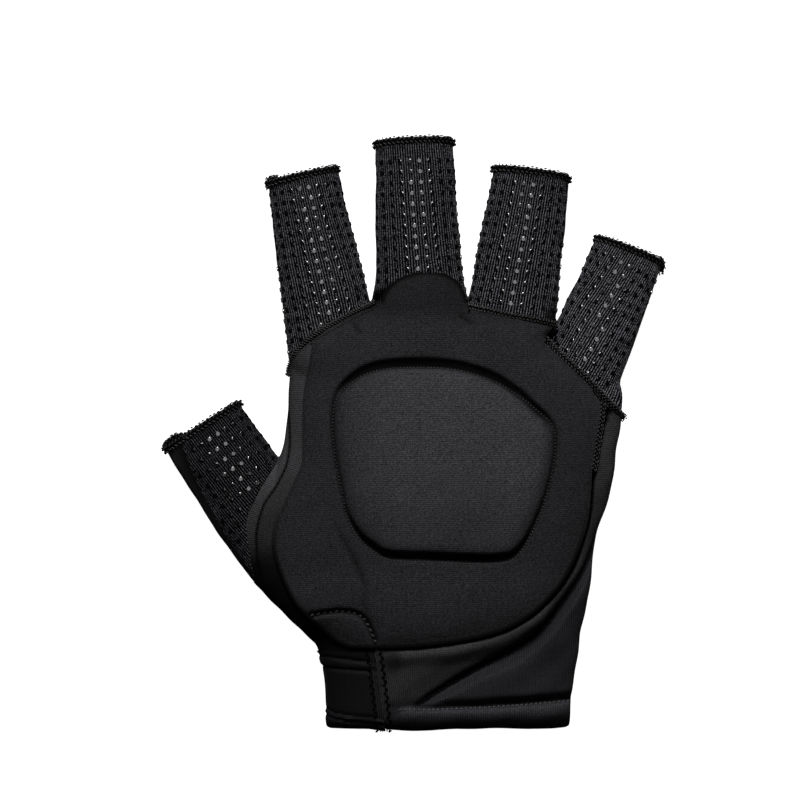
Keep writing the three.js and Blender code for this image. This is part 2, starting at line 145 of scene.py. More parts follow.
def spline(points, step=0.6, closed=False):  # the smooth line through a few points, evenly spaced
    p = np.array(points, float)
    p = np.vstack([p[-1:], p, p[:2]]) if closed else np.vstack([p[:1], p, p[-1:]])
    t = np.linspace(0, 1, 24, endpoint=False)[:, None]
    parts = []
    for a, b, c, d in zip(p[:-3], p[1:-2], p[2:-1], p[3:]):
        va, vb = (c - a) / 2, (d - b) / 2
        bend, rise = 2 * b - 2 * c + va + vb, 3 * c - 3 * b - 2 * va - vb
        parts.append(bend * t ** 3 + rise * t ** 2 + va * t + b)
    line = np.vstack(parts + [p[-2:-1]])
    run = runAlong(line)
    return sampled(line, run, np.linspace(0, run[-1], max(3, int(round(run[-1] / step)) + 1)))


def nearLine(points, line):  # distance to a line, how far along it, and the side (left is positive)
    best = np.full(len(points), 1e9)
    reach = np.zeros(len(points))
    side = np.zeros(len(points))
    run = 0.0
    for a, b in zip(line[:-1], line[1:]):
        d = b - a
        long = np.linalg.norm(d)
        if long < 1e-9:
            continue
        rel = points - a
        t = np.clip(rel @ d / long ** 2, 0, 1)
        off = rel - t[:, None] * d
        dist = np.hypot(off[:, 0], off[:, 1])
        closer = dist < best
        best[closer] = dist[closer]
        reach[closer] = run + t[closer] * long
        side[closer] = np.sign(d[0] * rel[closer, 1] - d[1] * rel[closer, 0])
        run += long
    return best, reach, side


def offLine(points, line):
    return nearLine(points, line)[0]


def inside(points, outline):
    odd = np.zeros(len(points), bool)
    x, y = points[:, 0], points[:, 1]
    for (ax, ay), (bx, by) in zip(outline, np.roll(outline, -1, axis=0)):
        if ay != by:
            odd ^= ((ay > y) != (by > y)) & (x < (bx - ax) * (y - ay) / (by - ay) + ax)
    return odd


def bell(distance, width, power=2):  # one on a line, and nought away from it
    return np.exp(-(distance / width) ** power)


def part(value, start, length):  # from nought to one over a length
    return np.clip((value - start) / length, 0, 1)


def ramp(value, start, end):  # from nought to one, softly
    t = part(value, start, end - start)
    return t * t * (3 - 2 * t)


def unit(v):
    return v / np.maximum(np.linalg.norm(v, axis=-1, keepdims=True), 1e-9)


# Small helpers over Blender's own operators
def activate(*objs):
    for o in bpy.context.selected_objects:
        o.select_set(False)
    for o in objs:
        o.select_set(True)
    bpy.context.view_layer.objects.active = objs[0]


def named(obj, name):
    obj.name = obj.data.name = name
    return obj


def places(obj):
    co = np.empty(len(obj.data.vertices) * 3)
    obj.data.vertices.foreach_get("co", co)
    return co.reshape(-1, 3) / mm


def moveTo(obj, points):
    obj.data.vertices.foreach_set("co", (np.asarray(points) * mm).ravel())
    obj.data.update()


def applyModifier(obj, kind, **values):
    activate(obj)
    modifier = obj.modifiers.new(kind.title(), kind)
    for key, value in values.items():
        setattr(modifier, key, value)
    bpy.ops.object.modifier_apply(modifier=modifier.name)
    return obj


def edit(obj, *steps):
    activate(obj)
    bpy.ops.object.mode_set(mode="EDIT")
    bpy.ops.mesh.select_all(action="SELECT")
    for step in steps:
        step()
    bpy.ops.object.mode_set(mode="OBJECT")
    return obj


def weld():
    bpy.ops.mesh.remove_doubles(threshold=1e-6)


def closeEnds():
    bpy.ops.mesh.select_all(action="DESELECT")
    bpy.ops.mesh.select_non_manifold()
    bpy.ops.mesh.fill_holes(sides=0)


def outwards():
    bpy.ops.mesh.select_all(action="SELECT")
    bpy.ops.mesh.normals_make_consistent(inside=False)


def extrude(height):  # a step that draws out the chosen faces, upwards or downwards
    move = {"value": (0, 0, height * mm)}
    return lambda: bpy.ops.mesh.extrude_region_move(TRANSFORM_OT_translate=move)


def gridSheet(name, columns, rows):  # a flat grid whose vertices run row by row
    bpy.ops.mesh.primitive_grid_add(x_subdivisions=columns, y_subdivisions=rows, size=2, calc_uvs=False)
    obj = named(bpy.context.object, name)
    flat = places(obj) * mm
    return obj, (flat[:, 0] + 1) / 2, (flat[:, 1] + 1) / 2


def drop(*objs):
    for o in objs:
        bpy.data.objects.remove(o, do_unlink=True)


def copyOf(obj, name):
    twin = obj.copy()
    twin.data = obj.data.copy()
    bpy.context.scene.collection.objects.link(twin)
    return named(twin, name)


def outset(outline, distance):
    p = np.array(outline, float)
    area = np.sum(p[:, 0] * np.roll(p[:, 1], -1) - p[:, 1] * np.roll(p[:, 0], -1))
    p = p if area > 0 else p[::-1]
    before = p - np.roll(p, 1, axis=0)
    before /= np.linalg.norm(before, axis=1)[:, None]
    after = np.roll(before, -1, axis=0)
    mitre = before + after
    mitre /= np.linalg.norm(mitre, axis=1)[:, None]
    reach = distance / np.maximum(0.5, np.sum(mitre * before, axis=1))
    return p + np.stack([mitre[:, 1] * reach, -mitre[:, 0] * reach], -1)


def block(outline, low=-20.0, high=60.0, grow=0.0):  # an upright block over an outline
    plan = outset(outline, grow)
    bpy.ops.mesh.primitive_circle_add(vertices=len(plan), fill_type="NGON", calc_uvs=False)
    obj = bpy.context.object
    moveTo(obj, np.c_[plan, np.full(len(plan), low)])
    return edit(obj, extrude(high - low), outwards)


def combine(obj, tool, operation):
    applyModifier(obj, "BOOLEAN", operation=operation, object=tool, solver="MANIFOLD")
    drop(tool)
    return obj


def keepLargest(obj):  # deletes the crumbs that a cut leaves beside a piece
    activate(obj)
    bpy.ops.mesh.separate(type="LOOSE")
    parts = sorted(bpy.context.selected_objects, key=lambda o: len(o.data.vertices))
    for crumb in parts[:-1]:
        drop(crumb)
    return parts[-1]


def treeOf(obj):
    return BVHTree.FromObject(obj, bpy.context.evaluated_depsgraph_get())


def cornersOf(obj):  # which vertex each corner of each face is
    corner = np.empty(len(obj.data.loops), np.int32)
    obj.data.loops.foreach_get("vertex_index", corner)
    return corner


def uvFrom(obj, u, v):  # a UV map in millimetres, from values on the vertices or on the faces' corners
    uv = np.stack([u, v], -1)
    if len(uv) == len(obj.data.vertices):
        uv = uv[cornersOf(obj)]
    obj.data.uv_layers.new(name="Cloth").data.foreach_set("uv", uv.astype(np.float32).ravel())


def valueOn(obj, name, value):  # a number on each vertex, for the materials to read
    layer = obj.data.attributes.get(name) or obj.data.attributes.new(name, "FLOAT", "POINT")
    layer.data.foreach_set("value", np.asarray(value, np.float32))


def shade(obj, factor):  # painted light and shade: how much lighter or darker than plain each vertex is drawn
    valueOn(obj, "lift", factor - 1)


def finishPiece(obj, name, cloths, replaced=(), degrees=40):
    named(obj, name)
    which = np.zeros(len(obj.data.polygons), np.int32)
    obj.data.polygons.foreach_get("material_index", which)
    obj.data.materials.clear()  # a cut leaves empty slots behind
    for look in cloths:
        obj.data.materials.append(cloth[look])
    obj.data.polygons.foreach_set("material_index", which)
    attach(obj, "root")
    if replaced:
        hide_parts(*replaced)
    activate(obj)
    bpy.ops.object.shade_smooth_by_angle(angle=math.radians(degrees))
    return obj


# Materials: shared effects are node groups, and each material sets its own values
def feed(tree, socket, value):  # sets a socket to a value, or links another socket to it
    if isinstance(value, bpy.types.NodeSocket):
        tree.links.new(value, socket)
    elif value is not None:
        socket.default_value = value


def newNode(tree, kind, inputs=None, **settings):
    node = tree.nodes.new("ShaderNode" + kind)
    for key, value in settings.items():
        setattr(node, key, value)
    for key, value in (inputs or {}).items():
        feed(tree, node.inputs[key], value)
    return node


def mathNode(tree, operation, a, b=None, clamp=False):
    return newNode(tree, "Math", {0: a, 1: b}, operation=operation, use_clamp=clamp).outputs[0]


def sumsIn(tree):  # the four kinds of sum, made of nodes in one tree
    return [partial(mathNode, tree, kind) for kind in ("ADD", "SUBTRACT", "MULTIPLY", "DIVIDE")]


def noiseNode(tree, place, scale, detail=2.0, roughness=0.5):
    values = {"Vector": place, "Scale": scale, "Detail": detail, "Roughness": roughness}
    return newNode(tree, "TexNoise", values).outputs["Fac"]


def newGroup(name, values, outputs):  # a group that takes a place and the named values of a look
    group = bpy.data.node_groups.new(name, "ShaderNodeTree")
    group.interface.new_socket("place", in_out="INPUT", socket_type="NodeSocketVector")
    for way, labels in (("INPUT", values), ("OUTPUT", outputs)):
        for label in labels:
            group.interface.new_socket(label, in_out=way, socket_type="NodeSocketFloat")
    return group, group.nodes.new("NodeGroupInput").outputs, group.nodes.new("NodeGroupOutput").inputs


knitForm = {"wobbleScale": 0.35, "wobble": 0.35, "grainScale": 2.2, "ribPower": 0.6, "base": 0.1,
            "heightShade": 0.85, "grainShade": 1.5, "fibreFrom": 0.62, "fibreGain": 6.0, "fibreHeight": 0.25}


def knitGroup():  # columns of knitted loops: ribs across x, stitches along y, all in millimetres
    group, start, end = newGroup("knitLoops", ["rib", "stitch", "slant", "rough", "loops"],
                                 ["height", "shade"])
    add, less, times, over = sumsIn(group)
    form = knitForm
    split = newNode(group, "SeparateXYZ", {0: start["place"]}).outputs
    wobble = times(less(noiseNode(group, start["place"], form["wobbleScale"]), 0.5), form["wobble"])
    u = add(over(split[0], start["rib"]), wobble)
    v = over(split[1], start["stitch"])
    rib = mathNode(group, "ABSOLUTE", mathNode(group, "SINE", times(u, math.pi)))
    turned = add(v, times(mathNode(group, "PINGPONG", u, 0.5), start["slant"]))
    loop = mathNode(group, "SINE", times(turned, 2 * math.pi))
    loop = add(times(less(loop, 1.0), start["loops"]), 1.0)
    grain = times(less(noiseNode(group, start["place"], form["grainScale"], 3, 0.7), 0.5), start["rough"])
    height = add(times(mathNode(group, "POWER", rib, form["ribPower"]), loop), grain, clamp=True)
    # shade: darker in the knit's hollows between ribs and loops, which is painted shade
    shade = add(times(height, form["heightShade"]), times(grain, form["grainShade"]))
    group.links.new(height, end["height"])
    group.links.new(add(shade, form["base"], clamp=True), end["shade"])
    return group


def flecksGroup():  # the uneven tone of worn dark cloth: single fibres, and soft clouds
    group, start, end = newGroup("clothFlecks", ["fleck", "fleckStrength", "cloud", "cloudStrength"],
                                 ["tone", "fibre"])
    add, less, times, _ = sumsIn(group)
    fleck = noiseNode(group, start["place"], start["fleck"], 4, 0.8)
    cloud = noiseNode(group, start["place"], start["cloud"])
    tone = add(times(less(fleck, 0.5), start["fleckStrength"]),
               times(less(cloud, 0.5), start["cloudStrength"]))
    fibre = times(less(fleck, knitForm["fibreFrom"]), knitForm["fibreGain"], clamp=True)
    group.links.new(add(tone, 1.0), end["tone"])
    group.links.new(fibre, end["fibre"])
    return group


knitLoops, clothFlecks = knitGroup(), flecksGroup()


def groupNode(tree, group, place, look):
    node = newNode(tree, "Group", node_tree=group)
    for socket in node.inputs:
        feed(tree, socket, place if socket.name == "place" else look[socket.name])
    return node.outputs


def onVertices(tree, name):  # a number that a mesh carries on its vertices, or nought
    return newNode(tree, "Attribute", attribute_name=name).outputs["Fac"]


def mixed(tree, share, first, second):
    return newNode(tree, "Mix", {0: share, 6: first, 7: second}, data_type="RGBA").outputs[2]


def clothMaterial(name, look):
    look = {**plainLook, **look}
    material = bpy.data.materials.new(name)
    material.use_nodes = True
    tree = material.node_tree
    add, less, times, _ = sumsIn(tree)
    origin = newNode(tree, "TexCoord").outputs
    metres = (1 / mm,) * 3
    onObject = newNode(tree, "Mapping", {0: origin["Object"], "Scale": metres}).outputs[0]
    values = {0: origin["UV" if look["uv"] else "Object"], "Scale": (1, 1, 1) if look["uv"] else metres,
              "Rotation": (0, 0, math.radians(look["turn"]))}
    knit = groupNode(tree, knitLoops, newNode(tree, "Mapping", values).outputs[0], look)
    flecks = groupNode(tree, clothFlecks, onObject, look)
    low, high = look["contrast"]
    # the dark colour falls in the knit's hollows as painted shade
    steep = times(less(knit["shade"], low), 1 / (high - low), clamp=True)
    # the cloth's random fleck tone, times the painted light and shade that each vertex carries in lift
    tone = times(flecks["tone"], add(onVertices(tree, "lift"), 1.0))
    colour = mixed(tree, steep, (*look["dark"], 1), (*look["light"], 1))
    colour = newNode(tree, "VectorMath", {0: colour, "Scale": tone}, operation="SCALE").outputs[0]
    if "rim" in look:  # the raw edge of a cut cloth, with painted shade along it
        colour = mixed(tree, onVertices(tree, "rim"), colour, (*look["rim"], 1))
    low, high = look["roughness"]
    height = add(knit["height"], times(flecks["fibre"], knitForm["fibreHeight"]))
    bump = {"Strength": look["bump"], "Distance": look["depth"] * mm, "Height": height}
    surface = {"Base Color": colour, "Normal": newNode(tree, "Bump", bump).outputs[0],
               "Roughness": add(times(knit["shade"], low - high), high, clamp=True),
               "Specular IOR Level": look["specular"], "Sheen Weight": look["sheen"]}
    for label, value in surface.items():
        feed(tree, tree.nodes["Principled BSDF"].inputs[label], value)
    return material


plainLook = {  # what holds where a look says nothing else
    "uv": False, "turn": 0, "slant": 0.9, "rough": 0.2, "loops": 0.22, "contrast": (0.1, 1.0), "depth": 0.12,
    "specular": 0.05, "sheen": 0.0, "fleck": 1.6, "fleckStrength": 0.6, "cloud": 0.05, "cloudStrength": 0.3,
}
threadLook = {"rib": 0.5, "stitch": 0.5, "rough": 0.6, "bump": 0.3, "depth": 0.05}
clothLooks = {
    "padCloth": {"dark": (0.006, 0.006, 0.0065), "light": (0.0204, 0.0204, 0.0225), "rib": 0.66,
                 "stitch": 0.4, "turn": 90, "slant": 0.0, "rough": 1.1, "roughness": (0.86, 1.0),
                 "bump": 0.6, "depth": 0.1, "sheen": 0.01, "fleck": 2.4, "fleckStrength": 5.0,
                 "cloud": 0.06, "cloudStrength": 0.4, "rim": (0.0014, 0.0007, 0.0007)},
    "padRawEdge": {"dark": (0.0008, 0.0004, 0.0004), "light": (0.0022, 0.0010, 0.0009), "specular": 0.01,
                   "rib": 0.9, "stitch": 0.5, "roughness": (0.85, 1.0), "bump": 0.6, "fleckStrength": 2.0},
    "ribSleeve": {"dark": (0.0006, 0.0006, 0.0007), "light": (0.096, 0.096, 0.106), "uv": True, "rib": 0.825,
                  "stitch": 0.95, "slant": 2.2, "rough": 0.45, "roughness": (0.62, 0.95), "bump": 0.8,
                  "depth": 0.2, "specular": 0.01, "fleckStrength": 2.6, "contrast": (0.78, 0.98),
                  "loops": 0.05},
    "ribBand": {"dark": (0.003, 0.003, 0.0033), "light": (0.0338, 0.0322, 0.0340), "uv": True, "rib": 0.8,
                "stitch": 0.7, "slant": 0.9, "rough": 0.4, "roughness": (0.7, 0.95), "bump": 0.7,
                "depth": 0.14, "specular": 0.01, "fleckStrength": 2.0},
    "smoothCloth": {"dark": (0.003, 0.003, 0.0036), "light": (0.011, 0.011, 0.0125), "rib": 0.7,
                    "stitch": 0.55, "rough": 0.5, "roughness": (0.5, 0.8), "bump": 0.45, "depth": 0.08,
                    "sheen": 0.03, "fleckStrength": 1.6},
    "cuffCloth": {"dark": (0.004, 0.004, 0.0047), "light": (0.021, 0.021, 0.024), "rib": 0.72,
                  "stitch": 0.6, "rough": 0.6, "roughness": (0.6, 0.9), "bump": 0.55, "depth": 0.1,
                  "sheen": 0.01, "fleckStrength": 2.4, "uv": True},
    "strapCloth": {"dark": (0.0014, 0.0014, 0.0017), "light": (0.0028, 0.0028, 0.0034), "rib": 0.7,
                   "stitch": 0.55, "rough": 0.6, "roughness": (0.5, 0.8), "bump": 0.4, "depth": 0.08,
                   "sheen": 0.02, "fleckStrength": 2.0},
    "overlockThread": {**threadLook, "dark": (0.002, 0.0018, 0.0018), "light": (0.034, 0.030, 0.030),
                       "roughness": (0.4, 0.65), "fleckStrength": 1.6, "specular": 0.3},
    # near black: painted shade where the braid's core shows between its stitches, and the black thread of
    # the web and flatlock stitches
    "coreShadeAndBlackThread": {"dark": (0.0006, 0.0005, 0.0005), "light": (0.002, 0.0016, 0.0016), "rib": 0.5,
                   "stitch": 0.5, "roughness": (0.8, 1.0), "bump": 0.2, "specular": 0.02},
    "darkThread": {**threadLook, "dark": (0.0012, 0.0012, 0.0013), "light": (0.009, 0.0085, 0.0085),
                   "roughness": (0.5, 0.75), "fleckStrength": 1.2, "specular": 0.2},
    "flatThread": {"dark": (0.0012, 0.0011, 0.0011), "light": (0.018, 0.0165, 0.0168), "rib": 0.4,
                   "stitch": 0.6, "rough": 0.7, "roughness": (0.6, 0.85), "bump": 0.5, "depth": 0.08,
                   "fleckStrength": 2.2, "specular": 0.1},
    "paleThread": {**threadLook, "dark": (0.02, 0.02, 0.021), "light": (0.09, 0.088, 0.092),
                   "roughness": (0.5, 0.75), "fleckStrength": 0.8},
    "gripSilicone": {"dark": (0.0006, 0.0006, 0.0007), "light": (0.0012, 0.0012, 0.0014), "rib": 3.0,
                     "stitch": 3.0, "rough": 0.1, "roughness": (0.14, 0.24), "bump": 0.03, "depth": 0.02,
                     "specular": 1.0, "fleckStrength": 0.3},
}
cloth = {name: clothMaterial(name, look) for name, look in clothLooks.items()}
print("materials ready:", ", ".join(cloth))


# The bare glove: six tubes fused into one skin, then hollowed
def loftTube(name, tube, grow, floor, more):
    rows = [r[0] for r in tube["rows"]]
    opensAtStart = tube is gloveTubes["palm"]
    start = rows[0] - (more if opensAtStart else grow)
    end = rows[-1] + (grow if opensAtStart else more)
    sheet, u, v = gridSheet(name, 120, int((end - start) / 1.6))
    moveTo(sheet, tubePoint(tube, start + (end - start) * v, 2 * math.pi * u, grow, floor))
    return edit(sheet, weld, closeEnds, outwards)


def gloveSkin(name, grow, floor, more, voxel):
    parts = [loftTube(f"{name}_{key}", tube, grow, floor, more) for key, tube in gloveTubes.items()]
    activate(*parts)
    bpy.ops.object.join()
    skin = named(bpy.context.object, name)
    applyModifier(skin, "REMESH", mode="VOXEL", voxel_size=voxel * mm)
    return applyModifier(skin, "SMOOTH", factor=0.5, iterations=7)


wall = gloveBody["wall"]
skin = gloveSkin("skin", 0, 0, 0, gloveBody["voxel"])
hollow = gloveSkin("hollow", -wall, wall, gloveBody["overrun"], gloveBody["innerVoxel"])
skinTree = treeOf(skin)
print("skin ready:", len(skin.data.polygons), "faces")


def surfaceAt(plan, trees, least=8.0):  # the highest surface over points of the plan, and where it faces
    down = Vector((0, 0, -1))
    height, up = np.full(len(plan), least), np.tile([0.0, 0.0, 1.0], (len(plan), 1))
    for i, (x, y) in enumerate(plan):
        for tree in trees:
            hit, normal, _, _ = tree.ray_cast(Vector((x * mm, y * mm, 0.1)), down)
            if hit is not None and hit.z / mm > height[i]:
                height[i], up[i] = hit.z / mm, normal
    return height, up


# Outlines that cut the skin into cloth pieces, seen from above
beyond = 110
indexMiddle = [(-13.2, 39.7), (-15, 60), (-15, beyond)]
middleRing = [(17.5, 39.3), (17.8, 60), (20, beyond)]
ringLittle = [(46, 33.6), (49.5, 46), (54, 70), (54, beyond)]
thumbFar = [(-60, -58), (-100, -30), (-100, 10)]
curve = {name: spline(points, 1.5) for name, points in sewn.items() if name != "quilt"}
quiltLine = spline(sewn["quilt"], 0.8, closed=True)
fingerRegions = {
    "thumb": [(-46, 5), *curve["thumbFoot"], *thumbFar, (-50, 25)],
    "index": [(-60, 12), *curve["indexFoot"], *indexMiddle[1:], (-60, beyond)],
    "middle": [*indexMiddle[::-1], *middleRing],
    "ring": [*curve["ringFoot"], *ringLittle[1:], *middleRing[:0:-1]],
    "little": [*ringLittle[::-1], *curve["littleFoot"], (76, -4), (100, beyond)],
}
guardOutline = [*curve["thumbGuard"], *thumbFar]
padOutline = np.array([*curve["padThumbSide"], *curve["padHeel"][1:], (42, 26.2), (41.2, 30.6), (42.4, 32.6),
                       (27.5, 35.5), *curve["padLobe"], (-27, 30.6)])
underPad = [(-28.5, 45), (-30, -7), (-38.5, -31), (-37, -43), (-21, -62.5), (5, -62.4), (28, -57.3),
            (42, -45.8), (50, -28.5), (55, 7), (60, 20), (60, 45)]
webOutline = [(-80, 35), (-20, 45), (-12, 0), (-12, strapTop), (-80, strapTop)]
bandOutline = [(-12, 0), (-12, strapTop), flatlockTop, hemTop[0], *curve["bandFoot"], (80, -30.5), (80, 30),
               (20, 45)]
padEdge = np.array([*curve["padThumbSide"], *curve["padHeel"][1:], (56.4, 14.4), (50, 21.2), (43, 27.6),
                    (42.2, 30.4), (44.6, 33.8), (33, 36.2), (25, 38), (18.4, 39.4), *curve["padLobe"],
                    (-16, 39), (-20, 37), (-27.2, 33), (-32, 29.4)])
strapFront = [(-80, strapTop), flatlockTop, flatlockFoot, (-8, wristEnd), (-80, wristEnd)]
strapBehind = [(-80, strapTop), (strapEndBehind, strapTop), (strapEndBehind, wristEnd), (-80, wristEnd)]
hemFront = [flatlockFoot, *hemTop, (80, hemTop[1][1]), (80, wristEnd), (-8, wristEnd)]
hemBehind = [(strapEndBehind, hemTop[1][1]), (80, hemTop[1][1]), (80, wristEnd), (strapEndBehind, wristEnd)]

seamHeight = gloveBody["sideSeam"]


def cutOut(name, blocks):  # takes a piece out of what is left of the cloth, and leaves a gap round it
    piece = keepLargest(combine(copyOf(clothLeft, name), blocks(0), "INTERSECT"))
    combine(clothLeft, blocks(gloveBody["gap"]), "DIFFERENCE")
    return named(piece, name)


def frontBlock(outline):
    return lambda grow: block(outline, low=seamHeight - grow, grow=grow)


def twoBlocks(front, behind):  # a block that differs above and below the side's seam
    return lambda grow: combine(block(front, low=seamHeight - gloveBody["gap"] - grow, grow=grow),
                                block(behind, high=seamHeight + grow, grow=grow), "UNION")


def guardBlocks(grow):
    return combine(block(guardOutline, grow=grow),
                   block(fingerRegions["thumb"], high=seamHeight + grow, grow=grow), "UNION")


clothLeft = combine(copyOf(skin, "clothLeft"), hollow, "DIFFERENCE")
thumbCloth = cutOut("thumbCloth", partial(block, fingerRegions["thumb"], -20.0, 60.0))
for name in fingerNames[1:]:
    combine(clothLeft, block(fingerRegions[name], grow=gloveBody["gap"]), "DIFFERENCE")
combine(clothLeft, block(underPad, low=seamHeight), "DIFFERENCE")
cuts = {"thumbWeb": frontBlock(webOutline), "sideBand": frontBlock(bandOutline),
        "wristStrap": twoBlocks(strapFront, strapBehind), "cuffHem": twoBlocks(hemFront, hemBehind)}
pieces = {name: cutOut(name, blocks) for name, blocks in cuts.items()}
pieces["handBack"] = named(keepLargest(clothLeft), "handBack")
thumbEnd = gloveTubes["thumb"]["rows"][-1][0]
mouth = [onTube(gloveTubes["thumb"], thumbEnd + along, across)
         for along, across in ((-1.3, -30), (-1.3, 30), (30, 30), (30, -30))]
guardCloth = named(keepLargest(combine(thumbCloth, guardBlocks(0), "INTERSECT")), "thumbGuard")
pieces["thumbGuard"] = combine(guardCloth, block(mouth), "DIFFERENCE")
print("cloth cut:", {name: len(o.data.polygons) for name, o in pieces.items()})

# Folds, rolled edges and slack of the cloth pieces, pressed into their meshes
clothShape = {
    "foldDepth": 4.6, "foldWidth": 1.9, "foldShift": 0.7,  # between side band and cuff panel
    "foldHump": 0.9, "humpPlace": 3.4, "humpWidth": 4.5,
    "hemDepth": 3.0, "hemWidth": 1.15, "gapDepth": 2.2, "gapWidth": 0.85,
    "heelHump": 1.1, "heelPlace": 3.0, "heelWidth": 2.3,
    "endRoll": 3.8, "bandSlope": 1.7, "slopeWidth": 8, "flatDepth": 0.5, "flatWidth": 0.8,
    "sides": 6,  # height under which nothing is pressed in
    "slack": 0.35,
}
bandFootLine = spline(sewn["bandFoot"], 0.8)
hemLine = spline([(-9.9, -87.2), (10, -87), (29.2, -86.2), (50, -84.8), (60, -84.4)], 0.8)
flatlockLine = spline([flatlockTop, flatlockFoot], 0.8)
heelLine = spline(sewn["padHeel"], 0.8)
webStitchLine, guardLine = spline(sewn["webStitch"], 0.8), spline(sewn["thumbGuard"], 0.8)
thumbSideLine = spline(sewn["padThumbSide"], 0.8)
sideGap = spline([(61.5, 8.6), (60.3, 1), (59, -5.4), (58, -10.5), (56.9, -15)], 0.8)


def slackOf(points):  # soft unevenness of a worn glove, the same at every run
    x, y, z = points.T
    return (np.sin(x * 0.19 + 1.3 * np.sin(y * 0.11 + 0.7)) * np.sin(y * 0.17 + 0.9 * np.sin(x * 0.13))
            + 0.5 * np.sin(x * 0.41 - y * 0.23 + 2.1) * np.sin(y * 0.37 + z * 0.3))


def skinNormals(points):
    return np.array([skinTree.find_nearest(Vector(p * mm))[1] for p in points])


def trimmed(p):  # how much shorter than its cut the wrist's edge is, to its left and right
    x, y, _ = p.T
    short = np.interp(x, [-30, -14, -8, 6, 14, 50], [0.7, 0.7, -0.2, -0.2, 0.35, 0.6])
    return short * part(y, -88, -6)


def foldAt(plan):  # distance to the fold's line and its middle, and how wide and how strong it is there
    dist, reach, side = nearLine(plan, bandFootLine)
    length = runAlong(bandFootLine)[-1]
    along = np.clip(reach / length, 0, 1)
    wide = 0.35 + 0.65 * np.sin(math.pi * np.clip(along * 0.95 + 0.08, 0, 1)) ** 0.8
    fade = part(reach, length, -8) * part(reach, -2, 6)
    return dist, np.abs(dist * side + clothShape["foldShift"]), wide, fade, side


def flatSeam(plan):  # how deep the flat seam beside the strap draws the cloth in
    return clothShape["flatDepth"] * bell(offLine(plan, flatlockLine), clothShape["flatWidth"])


def shapeCloth(obj, slack=1.0):
    s = clothShape
    p = places(obj)
    plan, (x, y, _) = p[:, :2].copy(), p.T.copy()
    normal = skinNormals(p)
    dist, fromFold, wide, fade, side = foldAt(plan)
    rise = -s["foldDepth"] * wide * bell(fromFold, s["foldWidth"] * wide, 2.2) * fade
    rise += s["foldHump"] * bell(fromFold - s["humpPlace"], s["humpWidth"]) * fade * wide * (side < 0)
    hem, _, above = nearLine(plan, hemLine)
    deeper = part(x, -8, 10) * np.clip(0.35 + x / 45, 0.3, 1)
    rise -= s["hemDepth"] * deeper * bell(hem, s["hemWidth"] * np.where(above > 0, 1.5, 0.95), 2.2)
    heel = offLine(plan, heelLine)
    besidePad = part(x, -12, 10) * part(y, 12, -6)
    rise -= s["gapDepth"] * bell(heel, s["gapWidth"], 3) * besidePad
    rise += s["heelHump"] * bell(heel - s["heelPlace"], s["heelWidth"]) * besidePad * part(y, -40, -20)
    rise -= s["endRoll"] * part(y, -88.5, -6) ** 2
    rise -= s["bandSlope"] * bell(dist, s["slopeWidth"]) * fade * (side > 0) * part(heel, 2, 5)
    rise -= flatSeam(plan) * (y < strapTop + 1)
    p[:, 2] += rise * part(p[:, 2], s["sides"], 5)
    p[:, 1] += trimmed(p)
    p += normal * (slack * s["slack"] * slackOf(p) * part(p[:, 2], 0, 4))[:, None]
    p[:, 2] = np.maximum(p[:, 2], 0.0)
    moveTo(obj, p)


darkSpots = [(-12.8, 41.8, 2.0, 0.99), (-11.2, 43.5, 2.0, 0.99), (-9.6, 45, 1.7, 0.99), (-8, 46.4, 1.2, 0.9),
             (-6.6, 47.4, 0.9, 0.8), (44.5, 37, 3.2, 0.75), (43.6, 31.4, 2.0, 0.97), (61.9, 7.2, 1.7, 0.96),
             (61, 4.4, 1.2, 0.9), (-6.3, -72.6, 3.4, 0.6), (-6.4, -88.4, 3.2, 0.6)]


def spotsOn(plan):  # deep places between the pieces, where hardly any light falls
    factor = np.ones(len(plan))
    for x, y, radius, strength in darkSpots:
        factor *= 1 - strength * bell(np.hypot(plan[:, 0] - x, plan[:, 1] - y), radius, 4)
    return factor


def needleHoles(plan):  # two rows of needle holes beside the flat seam, painted as dark pricks of shade
    dist, reach, side = nearLine(plan, flatlockLine)
    holes = np.zeros(len(plan))
    for row, offset in ((-2.2, 0), (2.0, 0.5)):
        prick = 0.5 + 0.5 * np.cos(2 * math.pi * (reach / 1.9 + offset))
        holes = np.maximum(holes, bell(dist * side - row, 0.5) * (0.35 + 0.65 * prick))
    return 1 - 0.95 * holes


clothPaintedLight = {
    "fold": 0.97, "heel": 0.97, "hem": 0.96, "stitch": 0.9,  # how much of the light each line loses
    "crest": 0.5, "bandTop": 0.35, "bandFoot": 0.72, "bandSide": 0.4,
    "panel": 0.72, "panelFold": 0.38, "hemFace": 1.75, "hemFoot": 0.5,
    "web": 1.2, "webFoot": 0.14, "webTop": 0.65, "webLeft": 0.72, "webEdge": 0.6,
    "guard": 2.0, "guardEdge": 0.1, "guardFoot": 0.25,
}


